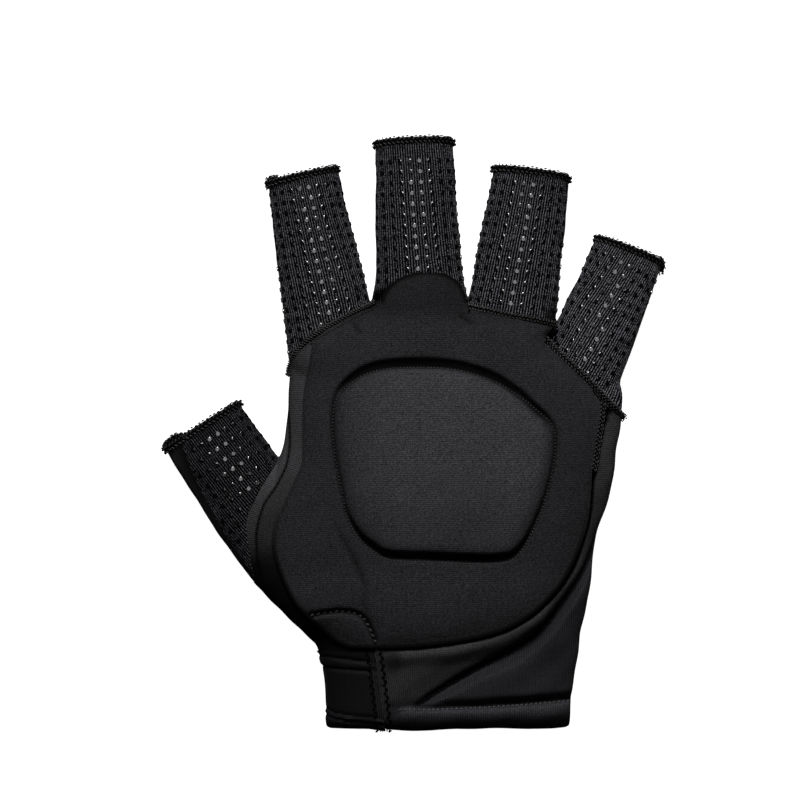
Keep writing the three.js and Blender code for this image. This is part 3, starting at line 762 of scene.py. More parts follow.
def paintedLightOnCloth(name, plan):  # the painted light and shade of each cloth piece: painted shade in its folds, gaps and seams, painted light on its crests and lit sides
    look = clothPaintedLight
    x, y = plan.T
    fold, fromFold, wide, fade, _ = foldAt(plan)
    inFold = 1 - look["fold"] * bell(fromFold, 1.0 + 0.95 * wide, 3) * fade
    if name == "sideBand":
        heel = offLine(plan, heelLine)
        deep = 1 - look["heel"] * bell(heel, 1.0, 4) * ramp(y, -62, -40)
        deep *= 1 - look["heel"] * bell(offLine(plan, sideGap), 0.65, 4)
        crest = 1 + look["crest"] * bell(heel - 2.0, 2.2) * ramp(y, -42, -60)
        slope = ramp(fold, 0.5, 9)
        light = look["bandFoot"] + (1 - look["bandFoot"]) * slope
        light += look["bandSide"] * ramp(y, -60, -35) * (1 - slope)
        return deep * crest * inFold * (1 + look["bandTop"] * ramp(y, -30, -5)) * light
    if name == "cuffHem":
        hem, _, side = nearLine(plan, hemLine)
        panel = 1 - 0.5 * ramp(fold, 3, 16) * ramp(hem, 11, 1)
        panel *= look["panel"] + look["panelFold"] * ramp(fold, 15, 1)
        inHem = 1 - look["hem"] * bell(hem, np.where(side > 0, 1.3, 0.7), 3) * ramp(x, -1, 8)
        face = look["hemFace"] - (look["hemFace"] - look["hemFoot"]) * ramp(hem, 2.2, 6.5)
        return inFold * inHem * np.where(side > 0, panel, face)
    if name == "thumbWeb":
        stitch, _, side = nearLine(plan, webStitchLine)
        lit = 1 + look["webTop"] * ramp(y, -28, -12)
        lit *= np.where(side > 0, look["webLeft"], 1.0) ** (y > -40)
        lit *= 1 - look["webEdge"] * bell(offLine(plan, thumbSideLine), 0.5) * ramp(y, -20, -34)
        foot = look["webFoot"] + (1 - look["webFoot"]) * ramp(y, -43, -31)
        return look["web"] * lit * foot * (1 - look["stitch"] * bell(stitch, 0.45))
    if name == "thumbGuard":
        light = part(offLine(plan, guardLine), 0, 4.6) ** 1.6
        light = look["guardEdge"] + (look["guard"] - look["guardEdge"]) * light
        return light * (look["guardFoot"] + (1 - look["guardFoot"]) * ramp(y, -48, -34))
    return 1.0


for name in ("thumbWeb", "sideBand", "cuffHem", "handBack", "thumbGuard"):
    plan = places(pieces[name])[:, :2]
    # painted light and shade on each piece, painted shade in its dark spots and needle holes
    shade(pieces[name], paintedLightOnCloth(name, plan) * spotsOn(plan) * needleHoles(plan))
    shapeCloth(pieces[name], 0.5 if name == "thumbGuard" else 1.0)

strapLook = {
    "topLines": [[(-31, -70.8), (-26.3, -71.4), (-15.2, -72.7), (-11, -73)],
                 [(-29.6, -74.4), (-23, -75.1), (-15.2, -75.5), (-11, -75.6)]],
    "footLines": [[(-28.9, -87.2), (-25.3, -89.3), (-19.8, -90.4), (-8, -90.9)],
                  [(-28.6, -89.6), (-25.3, -91.4), (-19.8, -92.6), (-8, -93)]],
    "groove": 0.8, "grooveWidth": 0.55, "binding": 0.4, "footTone": 0.7,
}


def shapeStrap(obj):
    s = strapLook
    p = places(obj)
    x, y, _ = p.T.copy()
    normal = skinNormals(p)
    top, foot = ([np.interp(x, *np.array(line).T) for line in s[key]] for key in ("topLines", "footLines"))
    atTop, atFoot = ramp(y - top[1], -0.5, 0.9), ramp(foot[0] - y, -0.5, 0.9)
    # painted shade in the needle holes, and the foot's binding drawn lighter
    shade(obj, needleHoles(p[:, :2]) * (1 + s["footTone"] * atFoot))
    move = s["binding"] * (atTop + atFoot)
    for level in top + foot:
        move -= s["groove"] * bell(y - level, s["grooveWidth"])
    p += normal * (move * part(p[:, 2], 6, 4))[:, None]
    p[:, 2] -= flatSeam(p[:, :2]) * (p[:, 2] > 8)
    p[:, 2] -= clothShape["endRoll"] * part(p[:, 1], -90.5, -5) ** 2 * part(p[:, 2], 6, 5)
    p[:, 1] += trimmed(p)
    p[:, 2] = np.maximum(p[:, 2], 0.0)
    moveTo(obj, p)


shapeStrap(pieces["wristStrap"])
ribLines = {  # the lines that the ribs of two pieces run square to
    "sideBand": [(-19.6, -72), (5.2, -74), (30.1, -68), (49, -52), (58, -31), (60, -9.2), (62, 8), (64, 30)],
    "thumbWeb": [(-38, 45), (-37, 10.4), (-39, -7.9), (-46, -25.3), (-48, -38), (-44, -50), (-36, -62),
                 (-30, -80)],
}
ribStretch = 1.35
for name, line in ribLines.items():
    p = places(pieces[name])
    dist, reach, side = nearLine(p[:, :2], spline(line, 2))
    uvFrom(pieces[name], reach * ribStretch, dist * side + p[:, 2] * 0.5)


def ribsDown(obj, middle=10.0, shoulder=12.0):  # ribs along the hand that keep their spacing on its sides
    x, y, z = places(obj)[cornersOf(obj)].T
    faces = obj.data.polygons
    side = [1.0 if face.center.x / mm > middle else -1.0 for face in faces]
    side = np.repeat(side, [face.loop_total for face in faces])
    uvFrom(obj, x + side * np.clip(shoulder - z, 0, None), y)


ribsDown(pieces["cuffHem"])
ribsDown(pieces["handBack"])
slotOf = {
    "thumbWeb": ("rib_knit", "ribBand", ["thumb_web"]), "sideBand": ("rib_knit", "ribBand", ["side_band"]),
    "cuffHem": ("smooth_knit", "cuffCloth", ["cuff_hem"]),
    "handBack": ("smooth_knit", "cuffCloth", ["hand_back"]),
    "thumbGuard": ("smooth_knit", "smoothCloth", ["thumb_guard"]),
    "wristStrap": ("smooth_knit", "strapCloth",
                   ["wrist_strap", "strap_top_binding", "strap_bottom_binding"]),
}
for name, (slot, look, nodes) in slotOf.items():
    finishPiece(pieces[name], name, [look], nodes)
print("cloth pieces shaped")


# Joined meshes of small repeated shapes, and threads swept along lines
def gather(name, parts):  # one mesh from lists of vertices, faces and a material's number, in millimetres
    verts, faces, which, count = [], [], [], 0
    for v, f, *material in parts:
        verts.append(v)
        faces += [tuple(i + count for i in face) for face in f]
        which += (material or [0]) * len(f)
        count += len(v)
    mesh = bpy.data.meshes.new(name)
    mesh.from_pydata((np.vstack(verts) * mm).tolist(), [], faces)
    mesh.polygons.foreach_set("material_index", which)
    obj = bpy.data.objects.new(name, mesh)
    bpy.context.scene.collection.objects.link(obj)
    return obj


def tangents(line, closed):
    if closed:
        return unit(np.roll(line, -1, axis=0) - np.roll(line, 1, axis=0))
    return unit(np.gradient(line, axis=0))


def squareTo(along, up):  # the upward directions, turned square to a line
    return unit(up - np.sum(up * along, axis=1)[:, None] * along)


def sweep(line, up, radius, sides, closed=False):  # a round thread along a line
    along = tangents(line, closed)
    normal = squareTo(along, up)
    across = np.cross(along, normal)
    turn = np.linspace(0, 2 * math.pi, sides, endpoint=False)[None, :, None]
    ring = radius * (np.cos(turn) * normal[:, None] + np.sin(turn) * across[:, None])
    n = len(line)
    faces = []
    for i in range(n if closed else n - 1):
        a, b = i * sides, ((i + 1) % n) * sides
        faces += [(a + k, a + (k + 1) % sides, b + (k + 1) % sides, b + k) for k in range(sides)]
    if not closed:
        faces += [tuple(range(sides))[::-1], tuple(range((n - 1) * sides, n * sides))]
    return (line[:, None] + ring).reshape(-1, 3), faces


def braid(line, up, look, closed=False):  # a core under rows of slanting stitches that meet like herringbone
    points, ups = (np.vstack([a, a[:1]]) if closed else a for a in (line, up))
    run = runAlong(points)
    at = np.linspace(0, run[-1], max(3, int(round(run[-1] / look["pitch"]))), endpoint=not closed)
    core, coreUp = sampled(points, run, at), unit(sampled(ups, run, at))
    t = tangents(core, closed)
    n = squareTo(t, coreUp)
    b = np.cross(t, n)
    parts = [(*sweep(core, coreUp, look["radius"] * look["core"], 10, closed), 1)]
    for degrees, slant, half in look["rows"]:
        c, s = math.cos(math.radians(degrees)), math.sin(math.radians(degrees))
        out = c * n + s * b
        way = unit(t + slant * (c * b - s * n))
        lively = 1 + 0.12 * np.sin(np.arange(len(core)) * 2.3 + degrees)
        centre = core + look["radius"] * out * lively[:, None] + half * look["pitch"] * t
        parts += copies(look["stitch"], centre, framesOn(way, out))
    return parts


def copies(shape, centres, frames):  # one small shape set down many times
    placed = np.einsum("nij,vj->nvi", frames, shape[0]) + centres[:, None]
    return [(p, shape[1]) for p in placed]


def shapeOf(obj):  # the vertices and faces of a hand-made shape, which is then put away
    verts = places(obj)
    faces = [tuple(p.vertices) for p in obj.data.polygons]
    drop(obj)
    return verts, faces


def makeStitch(length, radius):  # one stitch: a short thread with sunk ends
    bpy.ops.mesh.primitive_uv_sphere_add(segments=6, ring_count=6, radius=radius * mm)
    obj = bpy.context.object
    p = places(obj)
    p[:, 2] *= length / 2 / radius
    arch = 0.35 * radius * (1 - (2 * p[:, 2] / length) ** 2)
    moveTo(obj, np.stack([p[:, 2], p[:, 0], p[:, 1] + arch], -1))
    return shapeOf(obj)


def framesOn(along, up):  # stitch frames: x along the stitch, z away from the cloth
    z = squareTo(along, up)
    return np.stack([along, np.cross(z, along), z], -1)


# The ribbed sleeves of the thumb and fingers, each a tube of knit with its ribs in the mesh
sleeveLook = {
    # tone: painted light and shade, each sleeve of the one cloth drawn lighter or darker
    "tone": {"thumb": 0.52, "index": 1.05, "middle": 1.0, "ring": 1.1, "little": 1.5},
    "ribPitch": 0.825, "ribHeight": 0.15, "rowStep": 1.6, "wall": 1.3, "hemRoom": 0.4, "underPad": 0.9,
    "slack": 0.22,
    "twist": {"thumb": -0.084, "index": -0.059, "middle": -0.045, "ring": 0.046, "little": 0.183},
    "mouth": {"thumb": (0.2, -0.3), "index": (0.3, 0.6), "middle": (0.9, 0), "ring": (0.7, 0),
              "little": (0.6, 0)},
}


class Sleeve:  # places on one sleeve: a share of the way round, and a distance along
    def __init__(self, name):
        self.name = name
        self.tube = gloveTubes[name]
        self.twist = sleeveLook["twist"][name]
        rows = self.tube["rows"]
        self.end = rows[-1][0]
        self.angles = np.linspace(-math.pi / 2, 1.5 * math.pi, 1441)
        length = runAlong(tubePoint(self.tube, self.end * 0.6, self.angles, floor=-99))
        self.share, self.round = length / length[-1], length[-1]
        self.columns = int(round(self.round / (4 * sleeveLook["ribPitch"])))
        at = np.linspace(0, 1, 240, endpoint=False)
        steps = np.linspace(rows[0][0], self.end, 180)
        grid = tubePoint(self.tube, steps[:, None], self.angleAt(at)[None])
        kept = inside(grid[..., :2].reshape(-1, 2), np.array(fingerRegions[name])).reshape(grid.shape[:2])
        lastOut = len(steps) - 1 - np.argmax(~kept[::-1], axis=0)
        foot = steps[np.minimum(lastOut + 1, len(steps) - 1)]
        foot = (np.roll(foot, 1) + 2 * foot + np.roll(foot, -1)) / 4
        self.foot = np.r_[foot, foot[:1]]

    def mouth(self, angle):  # how far along the sleeve its mouth lies, which is bowed and a little askew
        bow, askew = sleeveLook["mouth"][self.name]
        return self.end + bow * np.sin(angle) + askew * np.cos(angle)

    def angleAt(self, share):
        return np.interp(share % 1.0, self.share, self.angles)

    def turned(self, share, along):
        return share - self.twist * (along - self.end) / self.round

    def footAt(self, share):
        along = np.full(np.shape(share), self.end - 20.0)
        for _ in range(8):
            at = self.turned(share, along) % 1.0
            along = np.interp(at * 240, np.arange(241), self.foot)
        return along

    def point(self, share, along, grow=0.0):
        return tubePoint(self.tube, along, self.angleAt(self.turned(share, along)), grow)

    def outward(self, share, along):
        angle = self.angleAt(self.turned(share, along))
        above, below = (tubePoint(self.tube, along, angle, grow, -99) for grow in (0.5, -0.5))
        return unit(above - below)


def ontoSkin(points):  # lifts points that lie inside the fused skin out to its surface
    out = points.copy()
    for i, p in enumerate(points):
        at = Vector(p * mm)
        near, normal, _, _ = skinTree.find_nearest(at)
        if near is not None and (at - near).dot(normal) < 0:
            out[i] = np.array(near) / mm
    return out


padReach = outset(padEdge, 1.8)


def makeSleeve(name):
    sleeve, look = Sleeve(name), sleeveLook
    columns = 16 * sleeve.columns
    rows = int((sleeve.end - sleeve.foot.min()) / look["rowStep"])
    sheet, u, v = gridSheet(f"{name}Sleeve", columns, rows)
    foot = sleeve.footAt(u)
    plan = sleeve.point(u, foot)
    foot = foot - look["underPad"] * (inside(plan[:, :2], padReach) & (plan[:, 2] > 9))
    end = sleeve.mouth(sleeve.angleAt(sleeve.turned(u, sleeve.end))) - look["hemRoom"]
    along = foot + (end - foot) * v
    p = ontoSkin(sleeve.point(u, along))
    k = np.round(u * columns).astype(int)
    quarter = np.array([-1.0, 0.15, 1.0, 0.15])[k % 4]
    rib = look["ribHeight"] * (quarter - 0.5 * np.isin(k % 16, (0, 4)))  # lower beside the dots
    uneven = 1 + 0.25 * np.sin(along * 2.9 + (k // 4) * 1.7)
    lively = part(p[:, 2], 0, 1.5)
    p += sleeve.outward(u, along) * (rib * uneven * lively + look["slack"] * slackOf(p) * lively)[:, None]
    p[:, 2] = np.maximum(p[:, 2], 0.02)
    moveTo(sheet, p)
    uvFrom(sheet, k / 4 * look["ribPitch"], along)
    # painted light per finger, and painted shade in the dark spots
    shade(sheet, look["tone"][name] * spotsOn(p[:, :2]))
    edit(sheet, weld, outwards)
    return applyModifier(sheet, "SOLIDIFY", thickness=look["wall"] * mm, offset=-1), sleeve


sleeves = {}
for name in fingerNames:
    sheet, sleeves[name] = makeSleeve(name)
    if name == "thumb":
        sheet = keepLargest(combine(sheet, guardBlocks(gloveBody["gap"]), "DIFFERENCE"))
    finishPiece(sheet, f"{name}Sleeve", ["ribSleeve"], [f"{name}_sleeve"], 80)
    print(f"{name} sleeve:", len(sheet.data.polygons), "faces")

# Silicone grip dots on the palm side of the sleeves
dotLook = {
    "radius": 0.76, "height": 0.3, "rim": 0.16, "rimDrop": 0.08, "sink": -0.06, "tilt": 3.2, "reach": 18.5,
    "rowPitch": {"thumb": 4.0, "index": 3.38, "middle": 3.45, "ring": 3.5, "little": 3.6},
    "rowSkew": {"thumb": 0.0, "index": 0.0, "middle": 0.0, "ring": 0.0, "little": 0.3},
    "firstRow": {"thumb": 5.0, "index": 4.4, "middle": 6.2, "ring": 4.0, "little": 5.0},
    "lastRow": 1.6,
}


def makeDot():  # a flat silicone disc with a narrow rounded rim
    r, height = dotLook["radius"] * mm, dotLook["height"] * mm
    bpy.ops.mesh.primitive_cylinder_add(vertices=14, radius=r, depth=height)
    obj = bpy.context.object
    activate(obj)
    bpy.ops.object.mode_set(mode="EDIT")
    bpy.ops.mesh.select_all(action="DESELECT")
    bpy.ops.object.mode_set(mode="OBJECT")
    for face in obj.data.polygons:
        face.select = face.normal.z > 0.9
    bpy.ops.object.mode_set(mode="EDIT")
    bpy.ops.mesh.inset(thickness=dotLook["rim"] * mm, depth=dotLook["rimDrop"] * mm)
    bpy.ops.object.mode_set(mode="OBJECT")
    return shapeOf(obj)


dotShape = makeDot()


def makeDots(name):
    sleeve = sleeves[name]
    centres, ups = [], []
    for m in range(sleeve.columns):
        share = (16 * m + 2) / (16 * sleeve.columns)
        if abs(share - 0.5) * sleeve.round > dotLook["reach"]:
            continue
        foot = sleeve.footAt(np.array([share]))[0]
        skew = dotLook["rowSkew"][name] * (share - 0.5) * sleeve.columns
        along = sleeve.end - dotLook["firstRow"][name] + skew
        while along > foot + dotLook["lastRow"]:
            here = (np.array([share]), np.array([along]))
            centres.append(sleeve.point(*here)[0])
            ups.append(sleeve.outward(*here)[0])
            along -= dotLook["rowPitch"][name]
    centres, ups = ontoSkin(np.array(centres)), np.array(ups)
    kept = (centres[:, 2] > 3) & (ups[:, 2] > 0.05) & ~inside(centres[:, :2], outset(padOutline, 0.4))
    if name == "thumb":
        kept &= ~inside(centres[:, :2], outset(guardOutline, 1.2))
    centres, ups = centres[kept], ups[kept]
    ups = unit(ups + np.tan(math.radians(dotLook["tilt"])) * chance.uniform(-1, 1, ups.shape))
    lean = math.radians(sleeve.tube["lean"])
    along = unit(np.cross(ups, np.array([math.cos(lean), -math.sin(lean), 0.0])))
    out = dotLook["height"] / 2 - dotLook["sink"] + sleeveLook["slack"] * slackOf(centres)
    obj = gather(f"{name}Dots", copies(dotShape, centres + ups * out[:, None], framesOn(along, ups)))
    return finishPiece(obj, f"{name}Dots", ["gripSilicone"], degrees=20)


for name in fingerNames:
    print(f"{name} dots:", len(makeDots(name).data.polygons), "faces")

# Overlocked hems round the mouths of the sleeves, with the knots where the thread ends
plumpStitch, beadStitch = makeStitch(1.35, 0.23), makeStitch(1.0, 0.25)
# the braid's core takes the second colour, painted shade between the stitches
threads = ["overlockThread", "coreShadeAndBlackThread", "darkThread"]
hemLook = {
    "braid": {"radius": 1.28, "pitch": 1.4, "stitch": plumpStitch, "core": 0.9,
              "rows": [(-30, 0.8, 0), (30, -0.8, 0.5), (-90, -0.8, 0.5), (90, 0.8, 0), (150, -0.8, 0.5),
                       (-150, 0.8, 0)]},
    "at": -0.4, "grow": -0.3, "floor": 0.3, "knotRadius": 0.8,
    "knots": {"thumb": [(-79.6, -4.6, 7.5), (-78, -2.7, 11.6), (-75.6, -0.9, 13.9), (-72.9, -0.8, 15)],
              "index": [(-46.4, 78.6, 5.5), (-46.2, 81, 8.5), (-43.8, 81.4, 12)],
              "little": [(79.2, 55.6, 9.2), (80.1, 54, 6.8), (79.6, 51.8, 5.5)]},
}


def upright(line):
    return np.tile([0.0, 0.0, 1.0], (len(line), 1))


def makeHem(name):
    sleeve, look = sleeves[name], hemLook["braid"]
    angle = sleeve.angleAt(np.linspace(0, 1, 240, endpoint=False))
    along = sleeve.mouth(angle) + hemLook["at"]
    line = tubePoint(sleeve.tube, along, angle, hemLook["grow"], look["radius"] + hemLook["floor"])
    up = unit(tubePoint(sleeve.tube, along, angle, 1, -99) - tubePoint(sleeve.tube, along, angle, -1, -99))
    parts = braid(line, up, look, closed=True)
    if name in hemLook["knots"]:
        knot = spline(hemLook["knots"][name], 0.5)
        parts += braid(knot, upright(knot), {**look, "radius": hemLook["knotRadius"]})
    obj = edit(gather(f"{name}Hem", parts), outwards)
    return finishPiece(obj, f"{name}Hem", threads, [f"{name}_hem"], 70)


for name in fingerNames:
    print(f"{name} hem:", len(makeHem(name).data.polygons), "faces")

# The padded palm: a foam pad under jersey, with a quilted cushion, a dart and creases
padLook = {
    "spacing": 0.55, "corner": (-45.5, -70.5), "size": (106.5, 121.5),
    "thickness": 2.7, "edgeThickness": 1.0, "edgeRoll": 4.5, "under": 0.3, "even": 3.2, "unevenness": 0.12,
    "cushionRise": 1.6, "cushionRound": 2.0, "grooveDepth": 3.9, "grooveWidth": 1.5, "grooveShift": 1.5,
    "dartDepth": 1.8, "dartWidth": 0.8, "creaseDepth": 0.6, "creaseWidth": 1.3,
    "pinches": [((-18.6, 34.4), (-16.8, 32.2)), ((15.6, 36.9), (18.3, 34.9))], "pinchDepth": 0.7,
    "pinchWidth": 0.9,
    # painted light and shade of the pad: cushion and heel drawn lighter, lobe, groove, side line, pinches
    # and creases darker
    "cushionPaintedLight": 1.1, "heelPaintedLight": 0.32, "lobeShade": 0.35, "grooveShade": 1.4, "sideLine": 0.75,
    "pinchShade": 0.6, "creaseShade": 0.9, "rawEdgeAndShade": 1.15,
}
padPuff = {"spacing": 2.2, "pressure": 4.0, "frames": 20, "scale": 10, "most": 1.25}
padLine = np.vstack([padEdge, padEdge[:1]])
quiltLoop = np.vstack([quiltLine, quiltLine[:1]])
dartLine = spline(sewn["dart"], 0.8)
creaseLine = spline(sewn["padCrease"], 1.0)


def padPlaces(plan):  # where points lie beside the pad's edge and its sewn lines
    y = plan[:, 1]
    quilt, reach, _ = nearLine(plan, quiltLoop)
    quilt *= np.where(inside(plan, quiltLine), 1, -1)  # positive on the cushion
    across = np.abs(unit(np.gradient(quiltLoop, axis=0))[:, 0])
    tight = 0.3 + 0.7 * np.interp(reach, runAlong(quiltLoop), across) ** 1.5  # deeper across the hand
    shift = padLook["grooveShift"] * (ramp(y, -10, 6) + 0.25 * ramp(y, -15, -30))
    crease, creaseReach, _ = nearLine(plan, creaseLine)
    pinches = [offLine(plan, np.array(ends, float)) for ends in padLook["pinches"]]
    return {"edge": offLine(plan, padLine) * np.where(inside(plan, padEdge), 1, -1), "quilt": quilt,
            "tight": tight, "groove": np.abs(quilt - shift * tight), "dart": offLine(plan, dartLine),
            "crease": crease, "creaseReach": creaseReach, "pinch": np.min(pinches, axis=0)}


def evenOut(grid, cells):  # a soft average over neighbouring cells
    reach = int(3 * cells)
    weights = np.exp(-0.5 * (np.arange(-reach, reach + 1) / cells) ** 2)
    weights /= weights.sum()
    for axis in (0, 1):
        margin = [(0, 0), (0, 0)]
        margin[axis] = (reach, reach)
        padded = np.pad(grid, margin, mode="edge")
        grid = np.apply_along_axis(np.convolve, axis, padded, weights, "valid")
    return grid


def padSheet(name, spacing):  # a grid over the pad's box, and the evened height of the hand below it
    (x0, y0), (w, h) = padLook["corner"], padLook["size"]
    columns, rows = int(w / spacing), int(h / spacing)
    sheet, u, v = gridSheet(name, columns, rows)
    plan = np.stack([x0 + w * u, y0 + h * v], -1)
    height = surfaceAt(plan, [skinTree], 0.0)[0]
    raw = np.where(height > 0, height, 8.0).reshape(rows + 1, columns + 1)
    cells = padLook["even"] / spacing
    soft = evenOut(raw, cells)
    base = soft + 1.6 * evenOut(np.clip(raw - soft, 0, None), cells)
    return sheet, plan, base.ravel() + padLook["under"], base.shape


def jerseyPuff():  # how far the jersey swells between the sewn lines it is pinned along
    sheet, plan, base, shape = padSheet("puffSheet", padPuff["spacing"])
    at = padPlaces(plan)
    pinned = (at["edge"] < 1.5) | (np.abs(at["quilt"]) < 1.4) | (at["dart"] < 1.4)
    size = padPuff["scale"]
    start = np.c_[plan, base] * size
    moveTo(sheet, start)
    sewnDown = sheet.vertex_groups.new(name="sewnDown")
    sewnDown.add(np.flatnonzero(pinned).tolist(), 1.0, "REPLACE")
    activate(sheet)
    modifier = sheet.modifiers.new("Cloth", "CLOTH")
    settings = modifier.settings
    settings.vertex_group_mass = "sewnDown"
    settings.use_pressure = True
    settings.uniform_pressure_force = padPuff["pressure"]
    settings.effector_weights.gravity = 0
    modifier.point_cache.frame_end = padPuff["frames"]
    for step in range(1, padPuff["frames"] + 1):
        bpy.context.scene.frame_set(step)
    bpy.ops.object.modifier_apply(modifier=modifier.name)
    lift = np.abs(places(sheet)[:, 2] - start[:, 2]) / size
    bpy.context.scene.frame_set(1)
    drop(sheet)
    print("pad blown up by", round(float(lift.max()), 2), "mm")
    return (lift * padPuff["most"] / max(lift.max(), 1e-6)).reshape(shape)


def readGrid(grid, u, v):  # a value between the points of a coarse grid
    rows, columns = grid.shape
    a = np.clip(v * (rows - 1), 0, rows - 1.001)
    b = np.clip(u * (columns - 1), 0, columns - 1.001)
    i, j = a.astype(int), b.astype(int)
    s, t = a - i, b - j
    return ((1 - s) * ((1 - t) * grid[i, j] + t * grid[i, j + 1])
            + s * ((1 - t) * grid[i + 1, j] + t * grid[i + 1, j + 1]))


def padRise(plan, at, puff):  # how far the jersey stands above a flat pad
    look = padLook
    (x0, y0), (w, h) = look["corner"], look["size"]
    x, y = plan.T
    rise = look["cushionRise"] * (1 - bell(np.clip(at["quilt"], 0, None), look["cushionRound"], 1.5))
    rise += readGrid(puff, (x - x0) / w, (y - y0) / h) * part(at["edge"], 0, 3)
    width = look["grooveWidth"] * (0.75 + 0.25 * ramp(y, -20, 0)) * at["tight"]
    rise -= look["grooveDepth"] * at["tight"] * bell(at["groove"], width, 2.6)
    rise -= look["dartDepth"] * bell(at["dart"], look["dartWidth"])
    rise -= look["creaseDepth"] * bell(at["crease"], look["creaseWidth"]) * part(at["creaseReach"], 0, 12)
    return rise - look["pinchDepth"] * bell(at["pinch"], look["pinchWidth"])


def padPaintedLight(plan, at):  # painted light on its cushion and its heel, painted shade in its quilt groove, dart, pinches and creases
    look = padLook
    x, y = plan.T
    lift = look["cushionPaintedLight"] * part(at["quilt"], 0, 5) * part(x, -34, 30) * (0.6 + 0.4 * ramp(y, -32, -14))
    lift += look["heelPaintedLight"] * ramp(y, -40, -48) - look["lobeShade"] * part(y, 34, 6)
    width = look["grooveShade"] * (0.8 + 0.2 * ramp(y, -20, 0))
    groove = bell(at["groove"], width, 6) * np.clip(1.6 * at["tight"] - 0.3, 0, 1)
    groove = np.maximum(groove, (1 - at["tight"]) * bell(at["quilt"], look["sideLine"], 4))
    dart = np.maximum(bell(at["dart"], look["dartWidth"]), 0.7 * bell(at["pinch"], look["pinchShade"]))
    crease = bell(at["crease"], look["creaseShade"]) * part(at["creaseReach"], 0, 6)
    crease *= 0.2 + 0.25 * (y > -48)
    return (1 + lift) * (1 - 0.99 * groove) * (1 - 0.85 * dart) * (1 - crease) * spotsOn(plan)


def rawEdgeAndShade(plan, fromEdge):  # where the pad's raw cut edge shows, with painted shade along it, and how strongly
    x, y = plan.T
    bare = 0.25 + 0.75 * np.maximum(ramp(y, 40.5, 42), ramp(y, -22, -42))
    bare *= 1 - ramp(x, 36, 42) * ramp(y, -14, -10)
    bare *= 1 - ramp(y, 26, 30) * (1 - ramp(y, 40.5, 42))
    return bare * bell(np.clip(fromEdge, 0, None), padLook["rawEdgeAndShade"], 4)


def makePad():
    look = padLook
    puff = jerseyPuff()
    sheet, plan, base, _ = padSheet("palmPad", look["spacing"])
    at = padPlaces(plan)
    roll = 1 - bell(np.clip(at["edge"], 0, None), look["edgeRoll"], 1.4)
    top = base + look["edgeThickness"] + (look["thickness"] - look["edgeThickness"]) * roll
    top += padRise(plan, at, puff) + look["unevenness"] * slackOf(np.c_[plan, base])
    moveTo(sheet, np.c_[plan, np.maximum(top, base + 0.4)])
    edit(sheet, extrude(-5))
    p = places(sheet)
    lookup = {(round(x, 3), round(y, 3)): z for (x, y), z in zip(plan, base)}
    for i, vertex in enumerate(sheet.data.vertices):
        if vertex.select:
            p[i, 2] = lookup[(round(p[i, 0], 3), round(p[i, 1], 3))]
    moveTo(sheet, p)
    edit(sheet, outwards)
    sheet = keepLargest(combine(sheet, block(padEdge), "INTERSECT"))
    plan = places(sheet)[:, :2]
    at = padPlaces(plan)
    shade(sheet, padPaintedLight(plan, at))
    valueOn(sheet, "rim", rawEdgeAndShade(plan, at["edge"]))
    finishPiece(sheet, "palmPad", ["padCloth", "padRawEdge"], ["palm_pad"], 50)
    for face in sheet.data.polygons:
        face.material_index = 1 if abs(face.normal.z) < 0.25 else 0
    return sheet


palmPad = makePad()
padTree = treeOf(palmPad)
print("pad:", len(palmPad.data.polygons), "faces")


# Seams where the sleeves meet the pad, and the braid down the pad's outer edge
def layLine(points, step, lift, trees, blur=3):
    plan = spline(points, step)
    height, up = surfaceAt(plan, trees)
    kernel = np.ones(2 * blur + 1) / (2 * blur + 1)
    height = np.convolve(np.pad(height, blur, mode="edge"), kernel, mode="valid")
    return np.c_[plan, height + lift], up


def shifted(points, dx, dy):
    return [(x + dx, y + dy) for x, y in points]


def stitchRow(points, stitch, pitch, lift, trees, slant=0.0, wave=0.0):  # single stitches along a line
    line, up = layLine(points, pitch, lift, trees, 1)
    along = tangents(line, False)
    side = unit(np.cross(up, along))
    turn = np.where(np.arange(len(line)) % 2, 1, -1)[:, None] if wave else 1.0
    return copies(stitch, line + wave * turn * side, framesOn(unit(along + slant * turn * side), up))


bothTrees = [skinTree, padTree]
herringbone = [(30, 0.8, 0), (-30, -0.8, 0.5), (88, -0.8, 0.5), (-88, 0.8, 0)]
seamLook = {
    "indexSeam": {"radius": 0.66, "pitch": 0.95, "core": 0.9, "stitch": beadStitch, "lift": 0.6,
                  "node": "index_seam",
                  "rows": [(20, 1.2, 0), (-35, 1.2, 0.5), (78, 1.2, 0.3), (-86, 1.2, 0.7)],
                  "line": [(-39.9, 18.2), (-39.5, 21.2), (-37.2, 26), (-33, 30.2), (-27, 33.9),
                           (-20.5, 37.6), (-12.9, 41.4)]},
    "ringSeam": {"radius": 0.74, "pitch": 1.1, "core": 0.9, "stitch": beadStitch, "lift": 1.1,
                 "node": "ring_seam",
                 "rows": [(38, 0.6, 0), (-38, -0.8, 0.5), (90, 0.6, 0.5), (-95, -0.8, 0)],
                 "line": [(17.7, 40.4), (22.5, 39.3), (29.9, 37.6), (38, 36.2), (45.1, 34.8)]},
    "littleSeam": {"radius": 0.95, "pitch": 1.2, "core": 0.92, "stitch": plumpStitch, "lift": 1.1,
                   "node": "little_seam", "rows": herringbone,
                   "line": [(42.2, 29.7), (46.5, 25.3), (51.3, 20.9), (56.3, 16.1), (60.3, 11.7),
                            (64.4, 7.6), (67.1, 5.1)]},
    "sideSeam": {"radius": 0.88, "pitch": 1.2, "core": 0.92, "stitch": plumpStitch, "lift": 0.85,
                 "node": "side_seam", "rows": herringbone,
                 "line": [(60.2, 9.4), (59.8, 5), (59.2, 1), (58.2, -5.4), (57.3, -11.2)]},
}
edgeRow = {"points": shifted(seamLook["indexSeam"]["line"], 0.75, -1.4), "stitch": beadStitch, "pitch": 1.0,
           "lift": 0.15, "trees": bothTrees, "slant": 0.5}

